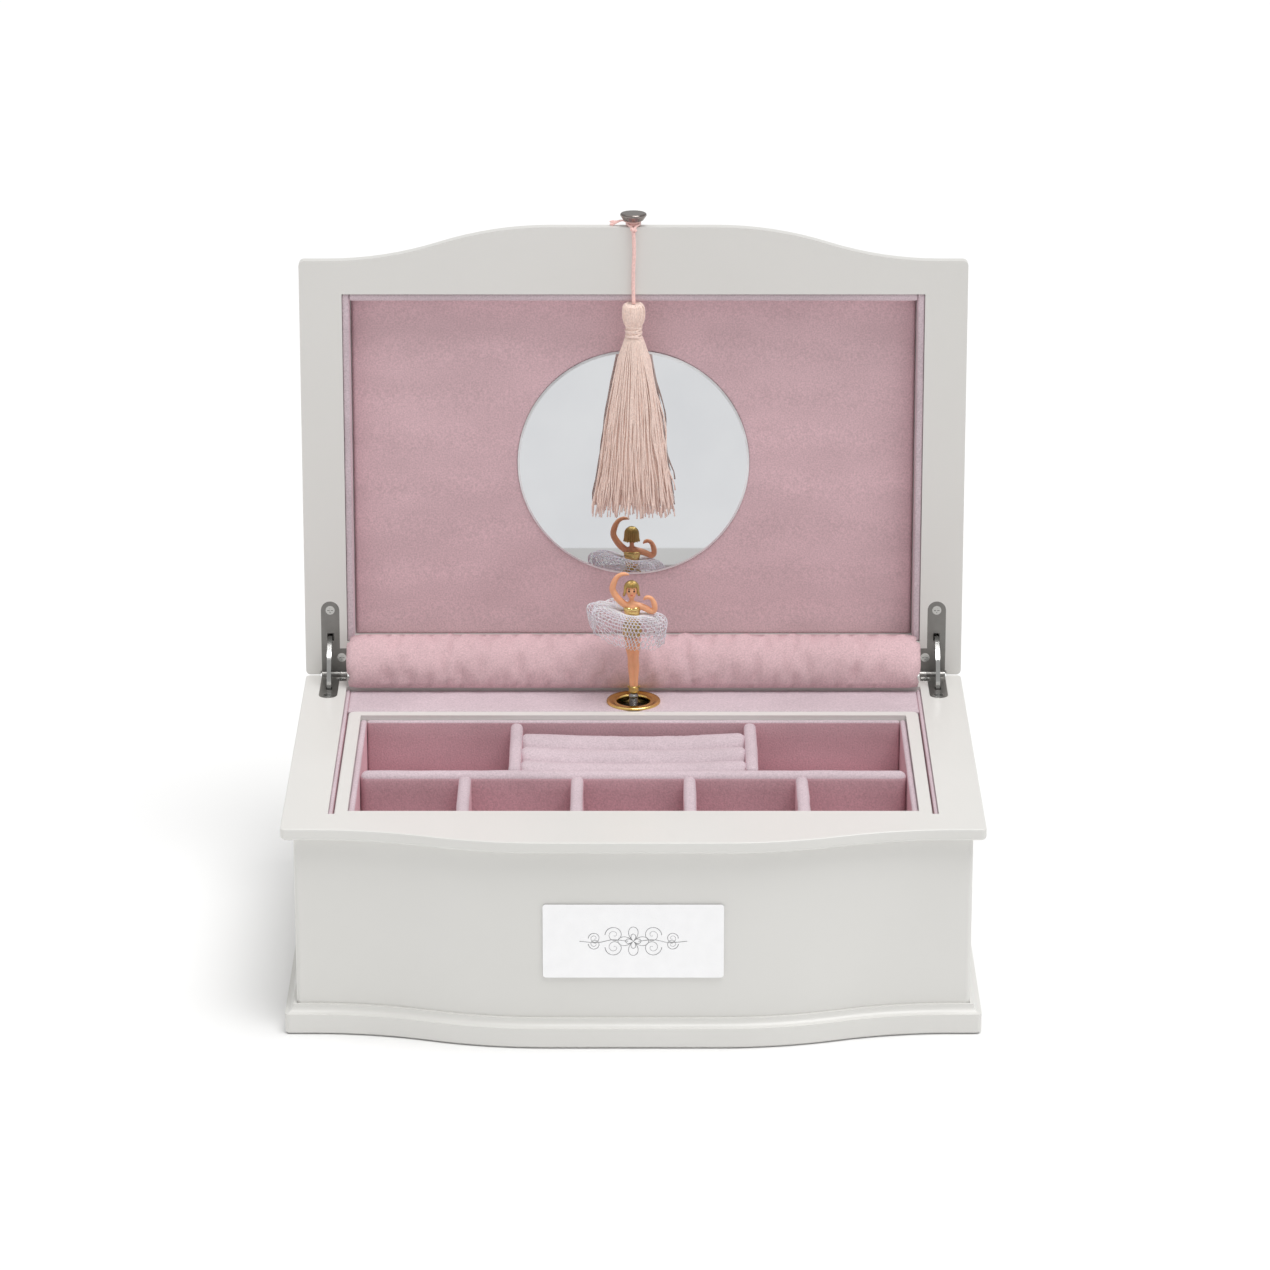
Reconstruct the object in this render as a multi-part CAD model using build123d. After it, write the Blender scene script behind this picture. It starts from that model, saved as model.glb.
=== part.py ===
from build123d import *
import os
from math import cos, pi, radians, sin

# Ballerina jewellery box with its lid open. Millimetres. X is to the right, the front faces -Y,
# +Z is up. The origin is on the resting face, under the middle of the top rim.

# ---- driving dimensions -------------------------------------------------------------------
RIM_HALF_W = 137.5        # top rim, centre to side
RIM_REAR = 89.0           # hinge edge of rim and lid
RIM_FRONT = -89.0         # front corners of rim and lid
BULGE = 14.2              # how far the serpentine front swells at its middle
SWELL_START = 126.0       # the front is straight outside this half width
SWELL_END = 34.0          # and straight again inside this one
BOX_H = 86.5              # resting face to top of rim
RIM_T = 5.0
OVERHANG = 4.8            # rim beyond the body
BASE_H = 11.4             # base moulding
BASE_FACE = 8.2
BASE_INSET = 0.3          # base moulding inside the rim's outline
OPEN_HALF_W = 119.75      # opening of the rim and inside of the walls
OPEN_FRONT = -72.0
OPEN_REAR = 74.5
LINER_T = 1.6
BOTTOM_T = 5.0
FELT_T = 1.0
SHELF_T = 2.5
TOP_DROP = 1.5            # tray and shelf below the top of the rim
OPEN_DEG = 92.0           # lid travel
LID_GAP = 0.15            # lid and rim each stand this far off the hinge plane
LID_RAIL_T = 12.5
LID_PANEL_T = 3.5
LID_EDGE_T = 6.0
RECESS = 11.0             # lid's underside to its lining board
LID_OPEN_HALF_W = 120.0
LID_OPEN_FRONT = -75.0
LID_LINER_T = 3.0
MIRROR_R = 48.3
TRAY_H = 28.0
TRAY_HALF_W = 117.6
TRAY_REAR = 49.0
TRAY_FRONT = -70.2
TRAY_WALL = 5.2
PAD = 2.6                 # lining inside the tray walls
DIVIDER_T = 5.4
LONG_DIVIDER_T = 7.6
LONG_DIVIDER_Y = -16.6
DIVIDER_DROP = 1.75       # divider tops below the tray's frame
ROLL_R = 7.8
HINGE_X = 127.0
LEAF_T = 1.4
LOWER_LEAF = (24.6, 7.5, 4.5)       # tongue, depth of the short leg, its screw from the axis
UPPER_LEAF = (28.2, 11.5, 7.5)
KNUCKLE_R = 1.5
ARM_R = 16.5
SPINDLE_Y = 60.5          # figure, spring and cylinder share this upright axis
BARREL_Z = 28.0
MODULE = 0.6              # crown wheel and its pinion
CROWN_TEETH = 36
PINION_TEETH = 10
FAN_MODULE = 0.35
FAN_WHEEL_TEETH = 48
FAN_PINION_TEETH = 8
CLEAR = 0.3

# ---- derived places -----------------------------------------------------------------------
AXIS_Z = BOX_H + LID_GAP
LID_Z = AXIS_Z + LID_GAP
TRAY_TOP = BOX_H - TOP_DROP
TRAY_Z = TRAY_TOP - TRAY_H
LINED_Z = BOTTOM_T + FELT_T
BODY_HALF_W = RIM_HALF_W - OVERHANG
BODY_FRONT = RIM_FRONT + OVERHANG
BODY_REAR = RIM_REAR - OVERHANG
WALL_TOP = BOX_H - RIM_T
WELL_HALF_W = OPEN_HALF_W - LINER_T
LID_TOP_MID_FRONT = RIM_FRONT - BULGE
FAN_X = FAN_MODULE * (FAN_WHEEL_TEETH + FAN_PINION_TEETH) / 2


# ---- helpers ------------------------------------------------------------------------------
def block(x0, x1, y0, y1, z0, z1):
    """A plain box between two corners."""
    return Pos((x0 + x1) / 2, (y0 + y1) / 2, (z0 + z1) / 2) * Box(x1 - x0, y1 - y0, z1 - z0)


def both_sides(piece):
    """A piece and its mirror image across the middle plane."""
    return [piece, mirror(piece, about=Plane.YZ)]


def group(pieces):
    """Separate solids kept together in one node."""
    return Compound([solid for piece in pieces for solid in piece.solids()])


def front_edges(half_w, front):
    """The serpentine front edge from right to left: straight, two tangent arcs, straight, and back."""
    mid_x = (SWELL_START + SWELL_END) / 2
    mid_y = front - BULGE / 2
    low_y = front - BULGE
    return [
        Line((half_w, front), (SWELL_START, front)),
        TangentArc((SWELL_START, front), (mid_x, mid_y), tangent=(-1, 0)),
        TangentArc((mid_x, mid_y), (SWELL_END, low_y), tangent=(1, 0), tangent_from_first=False),
        Line((SWELL_END, low_y), (-SWELL_END, low_y)),
        TangentArc((-SWELL_END, low_y), (-mid_x, mid_y), tangent=(-1, 0)),
        TangentArc((-mid_x, mid_y), (-SWELL_START, front), tangent=(1, 0), tangent_from_first=False),
        Line((-SWELL_START, front), (-half_w, front)),
    ]


def plan(half_w, rear, front):
    """Plan of the box: square at the back, serpentine at the front."""
    sides = [
        Line((-half_w, front), (-half_w, rear)),
        Line((-half_w, rear), (half_w, rear)),
        Line((half_w, rear), (half_w, front)),
    ]
    return make_face(front_edges(half_w, front) + sides)


def slab(half_w, rear, front, z0, z1, corner=2.0):
    """The plan extruded, with its four upright corners eased."""
    solid = Pos(0, 0, z0) * extrude(plan(half_w, rear, front), amount=z1 - z0)
    corners = [
        edge
        for edge in solid.edges().filter_by(Axis.Z)
        if abs(abs(edge.center().X) - half_w) < 0.01
    ]
    return fillet(corners, corner)


def cove_cutter(half_w, rear, front, z, radius):
    """A round bar laid along all four edges of the plan."""
    run_out = 20.0
    path = Wire([Pos(0, 0, z) * edge for edge in front_edges(half_w + run_out, front)])
    bar_face = Plane(origin=(half_w + run_out, front, z), z_dir=(-1, 0, 0)) * Circle(radius)
    length_y = rear - front + 2 * run_out
    bar_y = Pos(0, (rear + front) / 2, z) * Rot(X=90) * Cylinder(radius, length_y)
    bar_x = Pos(0, rear, z) * Rot(Y=90) * Cylinder(radius, 2 * half_w + 2 * run_out)
    return [sweep(bar_face, path=path), bar_x, Pos(half_w) * bar_y, Pos(-half_w) * bar_y]


def frame_rails(solid, half_open, rear_open, front_open):
    """Cut a moulded slab into front, rear and side rails round a straight opening."""
    far = 400.0
    zones = [
        block(-far, far, -far, front_open, -far, far),
        block(-far, far, rear_open, far, -far, far),
        block(half_open, far, front_open, rear_open, -far, far),
        block(-far, -half_open, front_open, rear_open, -far, far),
    ]
    return [solid & zone for zone in zones]


def hinge_sector(r0, r1, a0, a1, width):
    """A band of a ring about the hinge axis. Angles run from +Y up towards +Z."""
    corners = ((r0, a0), (r1, a0), (r1, a1), (r0, a1))
    points = [(r * cos(radians(a)), r * sin(radians(a))) for r, a in corners]
    mid = radians((a0 + a1) / 2)
    outline = [
        Line(points[0], points[1]),
        ThreePointArc(points[1], (r1 * cos(mid), r1 * sin(mid)), points[2]),
        Line(points[2], points[3]),
        ThreePointArc(points[3], (r0 * cos(mid), r0 * sin(mid)), points[0]),
    ]
    band = extrude(Plane.YZ * make_face(outline), amount=width / 2, both=True)
    return Pos(HINGE_X, RIM_REAR, AXIS_Z) * band


def hinge_rod(radius, x0, x1):
    """A rod on the hinge axis."""
    return Pos((x0 + x1) / 2, RIM_REAR, AXIS_Z) * Rot(Y=90) * Cylinder(radius, x1 - x0)


def screw(head_r, head_t, shank_r, length):
    """A countersunk screw, head up at z=0, with a cross recess."""
    head = Pos(0, 0, -head_t / 2) * Cylinder(head_r, head_t)
    shank = Pos(0, 0, -head_t - length / 2) * Cylinder(shank_r, length)
    slot = Pos(0, 0, -0.25) * Box(2 * head_r - 1.4, 0.5, 0.5)
    return head + shank - slot - Rot(Z=90) * slot


def opened(piece):
    """Swing a lid piece, drawn closed, back to the open rest pose."""
    return Pos(0, RIM_REAR, AXIS_Z) * Rot(X=-OPEN_DEG) * Pos(0, -RIM_REAR, -AXIS_Z) * piece


def opened_point(y, z):
    """Where a point of the closed lid lies when the lid is open."""
    turn = radians(-OPEN_DEG)
    dy = y - RIM_REAR
    dz = z - AXIS_Z
    return RIM_REAR + dy * cos(turn) - dz * sin(turn), AXIS_Z + dy * sin(turn) + dz * cos(turn)


def spur(teeth, module, width, slack=0.12):
    """A spur gear with straight sided teeth, centred on Z, a tooth on +X."""
    pitch_r = teeth * module / 2
    root_r = pitch_r - 1.15 * module
    tip_r = pitch_r + 0.85 * module
    half_root = module * 0.78 - slack / 2
    half_tip = module * 0.34 - slack / 2
    foot_r = root_r * 0.9
    corners = ((foot_r, -half_root), (tip_r, -half_tip), (tip_r, half_tip), (foot_r, half_root))
    tooth = make_face(Polyline(*corners, close=True))
    outline = Circle(root_r)
    for i in range(teeth):
        outline += Rot(Z=360 * i / teeth) * tooth
    return extrude(outline, amount=width)


def ball(x, y, z, radius):
    return Pos(x, y, z) * Sphere(radius)


def limb(start, end, r0, r1):
    """A tapered round limb with a ball at each end."""
    span = Vector(*end) - Vector(*start)
    middle = (Vector(*start) + Vector(*end)) * 0.5
    bone = Plane(origin=middle, z_dir=span) * Cone(r0, r1, span.length)
    return bone + ball(*start, r0) + ball(*end, r1)


# ---- case ---------------------------------------------------------------------------------
def arm_slots():
    """Curved pockets in rim and walls for the two support arms."""
    return both_sides(hinge_sector(ARM_R - 1.6, ARM_R + 1.6, 178, 236, 2.6))


def case_parts():
    body = slab(BODY_HALF_W, BODY_REAR, BODY_FRONT, 0, WALL_TOP)
    front, back, right, left = frame_rails(body, OPEN_HALF_W, OPEN_REAR, OPEN_FRONT)
    for cutter in arm_slots() + screw_holes(BOX_H, LOWER_LEAF):
        back -= cutter
        right -= cutter
        left -= cutter
    back -= Pos(0, (OPEN_REAR + BODY_REAR) / 2, BARREL_Z) * Rot(X=90) * Cylinder(4.0, 20)
    for bore in movement_screw_places():
        back -= Pos(*bore) * Rot(X=-90) * Pos(0, 0, -6) * Cylinder(0.8, 16)
        back -= Pos(*bore) * Rot(X=-90) * Pos(0, 0, -0.6) * Cylinder(2.2, 1.2)
    x, y0, y1 = OPEN_HALF_W, OPEN_FRONT, OPEN_REAR
    return {
        "front_panel": front,
        "back_panel": back,
        "right_side_panel": right,
        "left_side_panel": left,
        "bottom_felt": block(-x, x, y0, y1, 0, FELT_T),
        "bottom_panel": block(-x, x, y0, y1, FELT_T, LINED_Z),
    }


def base_moulding():
    half_w, rear, front = RIM_HALF_W - BASE_INSET, RIM_REAR - BASE_INSET, RIM_FRONT + BASE_INSET
    solid = slab(half_w, rear, front, 0, BASE_H)
    for bar in cove_cutter(half_w, rear, front, BASE_H, BASE_H - BASE_FACE):
        solid -= bar
    foot = solid.faces().sort_by(Axis.Z)[0]
    solid = chamfer(foot.edges(), 0.8)
    solid -= slab(BODY_HALF_W, BODY_REAR, BODY_FRONT, -1, BASE_H + 1)
    return group(frame_rails(solid, BODY_HALF_W, BODY_REAR, BODY_FRONT))


def hinge_pockets(leaf):
    """What a leaf, its knuckles and its arm need cut out of the wood."""
    return [leaf, *both_sides(hinge_rod(KNUCKLE_R + CLEAR, HINGE_X - 7.7, HINGE_X + 4.4))]


def top_rim():
    solid = slab(RIM_HALF_W, RIM_REAR, RIM_FRONT, WALL_TOP, BOX_H)
    under = solid.faces().sort_by(Axis.Z)[0]
    solid = fillet(under.edges(), 1.8)
    solid = fillet(solid.faces().sort_by(Axis.Z)[-1].edges(), 0.5)
    cutters = hinge_pockets(leaf_blank(BOX_H - LEAF_T, LOWER_LEAF)) + arm_slots()
    cutters += screw_holes(BOX_H, LOWER_LEAF)
    rails = []
    for rail in frame_rails(solid, OPEN_HALF_W, OPEN_REAR, OPEN_FRONT):
        for cutter in cutters:
            rail -= cutter
        rails.append(rail)
    return group(rails)


def engraved_plate():
    """Polished nameplate on the flat middle of the front."""
    face_y = BODY_FRONT - BULGE
    plate = block(-35.3, 35.3, face_y - 0.8, face_y, 28.5, 59.2)
    return fillet(plate.edges().filter_by(Axis.Y), 1.2)


def well_parts():
    rim_gap = BOX_H - 1.2
    side = block(WELL_HALF_W, OPEN_HALF_W, OPEN_FRONT, OPEN_REAR, LINED_Z, rim_gap)
    front = block(-WELL_HALF_W, WELL_HALF_W, OPEN_FRONT, OPEN_FRONT + LINER_T, LINED_Z, rim_gap)
    floor_top = LINED_Z + 1.5
    partition_y = TRAY_REAR + 0.4
    shelf = block(-WELL_HALF_W, WELL_HALF_W, partition_y, OPEN_REAR, TRAY_TOP - SHELF_T, TRAY_TOP)
    shelf -= Pos(0, SPINDLE_Y, TRAY_TOP) * Cylinder(7.5, 10)
    ring = Pos(0, SPINDLE_Y, TRAY_TOP + 0.5) * (Cylinder(11.2, 1.0) - Cylinder(6.5, 2))
    ring += Pos(0, SPINDLE_Y, TRAY_TOP - 1.5) * (Cylinder(7.4, 3.2) - Cylinder(6.5, 4))
    ledge = block(WELL_HALF_W - 6, WELL_HALF_W, OPEN_FRONT + LINER_T, partition_y, TRAY_Z - 5, TRAY_Z)
    return {
        "well_wall_liners": group([*both_sides(side), front]),
        "well_floor_liner": block(
            -WELL_HALF_W, WELL_HALF_W, OPEN_FRONT + LINER_T, partition_y, LINED_Z, floor_top
        ),
        "shelf_partition": block(
            -WELL_HALF_W, WELL_HALF_W, partition_y, partition_y + 2, LINED_Z, TRAY_TOP - SHELF_T
        ),
        "motor_shelf": shelf,
        "escutcheon_ring": fillet(ring.edges().filter_by(GeomType.CIRCLE).sort_by(Axis.Z)[-1], 0.5),
        "tray_ledges": group(both_sides(ledge)),
    }


# ---- hinges -------------------------------------------------------------------------------
def leaf_blank(z0, shape):
    """Plan of one leaf on each side: a long rounded tongue with a short leg, as pocket tools."""
    reach, leg_depth, _ = shape
    half = 3.85
    tongue_y = RIM_REAR - reach
    tongue = block(HINGE_X - half, HINGE_X + half, tongue_y, RIM_REAR, z0, z0 + LEAF_T)
    tongue += Pos(HINGE_X, tongue_y, z0 + LEAF_T / 2) * Cylinder(half, LEAF_T)
    leg = block(OPEN_HALF_W + 0.4, HINGE_X - half, RIM_REAR - leg_depth, RIM_REAR, z0, z0 + LEAF_T)
    return group(both_sides(tongue + leg))


def screw_places(shape):
    reach, _, leg_y = shape
    return [(HINGE_X, RIM_REAR - reach), (122.4, RIM_REAR - leg_y)]


def leaf_screws(z, shape, flip=False):
    turn = Rot(X=180) if flip else Rot()
    one = screw(1.9, 0.8, 0.8, 5.0)
    return [s for x, y in screw_places(shape) for s in both_sides(Pos(x, y, z) * turn * one)]


def screw_holes(z, shape):
    """Shank holes in the wood, above and below the given level."""
    return [
        s for x, y in screw_places(shape) for s in both_sides(Pos(x, y, z) * Cylinder(0.8, 14))
    ]


def hinge_leaf(z0, shape, knuckles, others, head_z):
    """One pair of leaves with their knuckles, bored for pin, arm and screws."""
    leaf = leaf_blank(z0, shape)
    for x0, x1 in others:
        for rod in both_sides(hinge_rod(KNUCKLE_R + 0.25, x0 - 0.1, x1 + 0.1)):
            leaf -= rod
    for x0, x1 in knuckles:
        for rod in both_sides(hinge_rod(KNUCKLE_R, x0, x1)):
            leaf += rod
    cutters = both_sides(hinge_rod(0.65, HINGE_X - 9, HINGE_X + 6))
    cutters += both_sides(hinge_sector(ARM_R - 1.6, ARM_R + 1.6, 120, 240, 2.6))
    for x, y in screw_places(shape):
        cutters += both_sides(Pos(x, y, z0 + LEAF_T / 2) * Cylinder(0.8, 4))
        cutters += both_sides(Pos(x, y, head_z) * Cylinder(1.9, 1.6))
    for cutter in cutters:
        leaf -= cutter
    return leaf


def hinge_parts():
    lower_knuckles = [(120.15, 123.0), (127.4, 130.85)]
    upper_knuckles = [(123.2, 127.2)]
    arm = hinge_sector(ARM_R - 0.9, ARM_R + 0.9, 80, 188, 1.8)
    right, left = both_sides(arm)
    box_z = BOX_H - LEAF_T
    upper = hinge_leaf(LID_Z, UPPER_LEAF, upper_knuckles, lower_knuckles, LID_Z)
    return {
        "hinge_lower_leaves": hinge_leaf(box_z, LOWER_LEAF, lower_knuckles, upper_knuckles, BOX_H),
        "hinge_upper_leaves": opened(upper),
        "hinge_pins": group(both_sides(hinge_rod(0.6, 120.15, 130.85))),
        "hinge_screws_lower": group(leaf_screws(BOX_H, LOWER_LEAF)),
        "hinge_screws_upper": opened(group(leaf_screws(LID_Z, UPPER_LEAF, flip=True))),
        "right_hinge_arm": right,
        "left_hinge_arm": left,
    }


# ---- lid ----------------------------------------------------------------------------------
def lid_arm_slots():
    """Curved pockets in the lid's frame and top for the two support arms."""
    return both_sides(hinge_sector(ARM_R - 1.6, ARM_R + 1.6, 124, 182, 2.6))


def lid_frame():
    """Four rails: a thin square edge, then a cove up to the raised top."""
    edge = slab(RIM_HALF_W, RIM_REAR, RIM_FRONT, LID_Z, LID_Z + LID_EDGE_T)
    edge = fillet(edge.faces().sort_by(Axis.Z)[-1].edges(), 1.2)
    inset = 0.7
    cove_r = LID_RAIL_T - LID_EDGE_T - 0.1
    half_w, rear, front = RIM_HALF_W - inset, RIM_REAR - inset, RIM_FRONT + inset
    riser = slab(half_w - 1, rear - 1, front + 1, LID_Z + LID_EDGE_T, LID_Z + LID_RAIL_T)
    for bar in cove_cutter(half_w, rear, front, LID_Z + LID_RAIL_T, cove_r):
        riser -= bar
    cutters = hinge_pockets(leaf_blank(LID_Z, UPPER_LEAF)) + screw_holes(LID_Z, UPPER_LEAF)
    cutters += lid_arm_slots()
    rails = []
    for rail in frame_rails(edge + riser, LID_OPEN_HALF_W, OPEN_REAR, LID_OPEN_FRONT):
        for cutter in cutters:
            rail -= cutter
        rails.append(rail)
    return group(rails)


def lid_parts():
    z = LID_Z
    inset = 7.6
    base = z + LID_RAIL_T
    top = slab(RIM_HALF_W - inset, RIM_REAR - inset, RIM_FRONT + inset, base, base + LID_PANEL_T)
    top = fillet(top.faces().sort_by(Axis.Z)[-1].edges(), 1.4)
    for cutter in lid_arm_slots():
        top -= cutter
    inner = LID_OPEN_HALF_W - LID_LINER_T
    side = block(inner, LID_OPEN_HALF_W, LID_OPEN_FRONT, OPEN_REAR, z + 0.4, z + RECESS)
    front = block(-inner, inner, LID_OPEN_FRONT, LID_OPEN_FRONT + LID_LINER_T, z + 0.4, z + RECESS)
    board = block(-LID_OPEN_HALF_W, LID_OPEN_HALF_W, LID_OPEN_FRONT, OPEN_REAR, z + RECESS, z + LID_RAIL_T)
    mirror_y = (LID_OPEN_FRONT + OPEN_REAR) / 2
    glass = Pos(0, mirror_y, z + RECESS - 0.5) * Cylinder(MIRROR_R, 1.0)
    closed = {
        "lid_frame": lid_frame(),
        "lid_top_panel": top,
        "lid_wall_liners": group([*both_sides(side), front]),
        "lid_lining_board": board,
        "lid_mirror": glass,
    }
    return {name: opened(piece) for name, piece in closed.items()}


def hinge_cover_roll():
    """Plump fabric strip that bridges lid lining and shelf across the hinge line."""
    reach = 18.0
    lean = sin(radians(OPEN_DEG - 90))
    off = 0.55
    low = (RIM_REAR - reach, BOX_H + off)
    corner = (RIM_REAR - off, BOX_H + off)
    high = (RIM_REAR - off + lean * reach, AXIS_Z + reach)
    crown = (RIM_REAR - reach * 0.62, AXIS_Z + reach * 0.62)
    section = make_face([Line(low, corner), Line(corner, high), ThreePointArc(high, crown, low)])
    return extrude(Plane.YZ * section, amount=119.0, both=True)


# ---- knob and tassel ----------------------------------------------------------------------
NECK_LEN = 2.5
HEAD_LEN = 2.9
KNOB_R = 6.2
CORD_R = 0.8
KNOT_R = 0.95
KNOT_OFFSET = (-5.6, -1.6)      # knot from the neck's middle, lid open
CORD_ROUTE = [(0, 0, 0), (0.5, -0.2, -7.5), (-0.2, 0.1, -18), (0.1, 0, -30.2)]
HEAD_H = 14.4
SKIRT_H = 78.0
NECK_Y, NECK_Z = opened_point(LID_TOP_MID_FRONT - NECK_LEN / 2, LID_Z + LID_EDGE_T / 2)
KNOT_Y = NECK_Y + KNOT_OFFSET[0]
KNOT_Z = NECK_Z + KNOT_OFFSET[1]


def knob_parts():
    mid_z = LID_Z + LID_EDGE_T / 2
    front = LID_TOP_MID_FRONT
    neck = Pos(0, front - NECK_LEN / 2, mid_z) * Rot(X=90) * Cylinder(2.0, NECK_LEN)
    head = Pos(0, front - NECK_LEN - HEAD_LEN / 2, mid_z) * Rot(X=90) * Cone(KNOB_R - 2.0, KNOB_R, HEAD_LEN)
    head = fillet(head.edges().filter_by(GeomType.CIRCLE).sort_by(Axis.Y)[0], 0.8)
    loop = Pos(0, front - NECK_LEN / 2, mid_z) * Rot(X=90) * Torus(2.75, 0.6)
    return {
        "tassel_knob": opened(neck + head),
        "tassel_loop": opened(loop),
        "tassel_knot": ball(0, KNOT_Y, KNOT_Z, KNOT_R),
    }


def cord_route():
    """Cord from under the knot to the top of the tassel's head."""
    top = KNOT_Z - KNOT_R
    return [Vector(x, KNOT_Y + y, top + z) for x, y, z in CORD_ROUTE]


def route_radii(points):
    """The largest even bend that each pair of runs allows."""
    radii = []
    for before, here, after in zip(points, points[1:], points[2:]):
        run_in, run_out = here - before, after - here
        half_turn = radians(run_in.get_angle(run_out) / 2)
        radii.append(0.45 * min(run_in.length, run_out.length) * cos(half_turn) / sin(half_turn))
    return radii


def tassel_parts():
    points = cord_route()
    radii = route_radii(points)
    path = FilletPolyline(*points, radius=radii)
    start = Plane(origin=points[0], z_dir=points[1] - points[0])
    cord = sweep(start * Circle(CORD_R), path=path)
    length = path.length
    print("cord bend radii", [round(r, 1) for r in radii], "length", round(length, 2))
    print("cord volume", round(cord.volume, 2), "section x length", round(pi * CORD_R**2 * length, 2))
    end = points[-1]
    head_r = 4.65
    head = Pos(end.X, end.Y, end.Z) * revolve(
        Plane.XZ * make_face([
            Line((0, 0), (1.6, 0)),
            Line((1.6, 0), (head_r, -3.0)),
            ThreePointArc((head_r, -3.0), (head_r + 0.15, -6.0), (3.6, -10.4)),
            Line((3.6, -10.4), (3.3, -HEAD_H)),
            Line((3.3, -HEAD_H), (0, -HEAD_H)),
            Line((0, -HEAD_H), (0, 0)),
        ]),
        axis=Axis.Z,
    )
    skirt_top = end.Z - HEAD_H
    sections = [(0, 4.6, 3.6), (0.35, 12.4, 5.2), (1.0, 17.2, 4.6)]
    rings = [
        Pos(end.X, end.Y, skirt_top - t * SKIRT_H) * Ellipse(half_w, half_d)
        for t, half_w, half_d in sections
    ]
    return {"tassel_cord": cord, "tassel_head": head, "tassel_skirt": loft(rings)}


# ---- tray ---------------------------------------------------------------------------------
def tray_parts():
    x, y0, y1 = TRAY_HALF_W, TRAY_FRONT, TRAY_REAR
    xi, yi0, yi1 = x - TRAY_WALL, y0 + TRAY_WALL, y1 - TRAY_WALL
    xp, yp0, yp1 = xi - PAD, yi0 + PAD, yi1 - PAD
    outer = block(-x, x, y0, y1, TRAY_Z, TRAY_TOP)
    outer = fillet(outer.edges().filter_by(Axis.Z), 3.0)
    outer = fillet(outer.faces().sort_by(Axis.Z)[-1].edges(), 0.8)
    frame = frame_rails(outer, xi, yi1, yi0)
    floor_top = TRAY_Z + 2.0
    lined = floor_top + 1.5
    pad_top = TRAY_TOP - DIVIDER_DROP
    liner = block(-xi, xi, yi0, yi1, lined, pad_top)
    long_half = LONG_DIVIDER_T / 2
    front_len = (yp0, LONG_DIVIDER_Y - long_half)
    back_len = (LONG_DIVIDER_Y + long_half, yp1)

    def divider(cx, span):
        wall = block(cx - DIVIDER_T / 2, cx + DIVIDER_T / 2, span[0], span[1], lined, pad_top)
        tops = [e for e in wall.edges().filter_by(Axis.Y) if e.center().Z > pad_top - 0.1]
        return fillet(tops, 2.2)

    long_divider = block(-xp, xp, LONG_DIVIDER_Y - long_half, LONG_DIVIDER_Y + long_half, lined, pad_top)
    ridge = [e for e in long_divider.edges().filter_by(Axis.X) if e.center().Z > pad_top - 0.1]
    cell = (2 * xp - 4 * DIVIDER_T) / 5
    step = cell + DIVIDER_T
    roll_half = 45.2
    roll_top = pad_top - 0.2
    rolls = []
    for i in range(3):
        centre_y = LONG_DIVIDER_Y + long_half + 0.15 + ROLL_R + i * (2 * ROLL_R + 0.15)
        foot = block(
            -roll_half, roll_half, centre_y - ROLL_R, centre_y + ROLL_R, lined, roll_top - ROLL_R
        )
        rolls.append(foot + Pos(0, centre_y, roll_top - ROLL_R) * Rot(Y=90) * Cylinder(ROLL_R, 2 * roll_half))
    return {
        "tray_frame": group(frame),
        "tray_floor": block(-xi, xi, yi0, yi1, TRAY_Z, floor_top),
        "tray_floor_lining": block(-xi, xi, yi0, yi1, floor_top, lined),
        "tray_wall_liners": group(frame_rails(liner, xp, yp1, yp0)),
        "long_divider": fillet(ridge, 3.2),
        "back_row_dividers": group([divider(s * (roll_half + DIVIDER_T / 2), back_len) for s in (-1, 1)]),
        "front_row_dividers": group([divider(k * step / 2, front_len) for k in (-3, -1, 1, 3)]),
        "ring_rolls": group(rolls),
    }


# ---- movement -----------------------------------------------------------------------------
PLATE_FACE_Y = 72.0       # inner face of the bedplate
CYLINDER_R = 6.5
CYLINDER_Z = (43.5, 63.5)
BRIDGE_Z = (66.0, 68.0)
SPINDLE_R = 1.5
CROWN_Y = SPINDLE_Y + MODULE * PINION_TEETH / 2
CROWN_R = MODULE * CROWN_TEETH / 2
ARBOR_R = 2.5


def movement_screw_places():
    """Screw heads on the outside of the back panel."""
    return [(-22.0, BODY_REAR, 17.0), (22.0, BODY_REAR, 17.0), (0, BODY_REAR, 75.0)]


def bedplate():
    """Cast plate with the bearing bridges, the comb seat and the fan's bridge."""
    depth = (58.0, PLATE_FACE_Y)
    plate = block(-26, 26, PLATE_FACE_Y, OPEN_REAR, 12, 80)
    lower = block(-18.5, 18.5, depth[0], 62.0, 33.0, 35.0)
    for side in (-1, 1):
        x0, x1 = sorted((side * 16.0, side * 18.5))
        lower += block(x0, x1, depth[0], PLATE_FACE_Y, 33.0, 35.0)
    upper = block(-18.5, 18.5, depth[0] - 2, PLATE_FACE_Y, *BRIDGE_Z)
    seat = block(-24, -17, 57.3, PLATE_FACE_Y, 44.5, 62.5)
    fan_arm = block(16.0, 18.5, depth[0], PLATE_FACE_Y, BRIDGE_Z[1], 80.0)
    fan_arm += block(FAN_X - 2, 16.0, depth[0], 64.0, 78.0, 80.0)
    body = plate + lower + upper + seat + fan_arm
    body -= Pos(0, SPINDLE_Y, 50) * Cylinder(SPINDLE_R + 0.05, 100)
    body -= Pos(FAN_X, SPINDLE_Y, 70) * Cylinder(0.65, 40)
    body -= Pos(0, PLATE_FACE_Y, BARREL_Z) * Rot(X=90) * Cylinder(ARBOR_R + 0.05, 20)
    for x, _, z in movement_screw_places():
        body -= Pos(x, PLATE_FACE_Y, z) * Rot(X=90) * Cylinder(0.8, 20)
    for z in comb_screw_heights():
        body -= Pos(-20.5, 60.0, z) * Rot(X=90) * Cylinder(0.6, 12)
    return body


def comb_screw_heights():
    return (48.0, 59.0)


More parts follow.
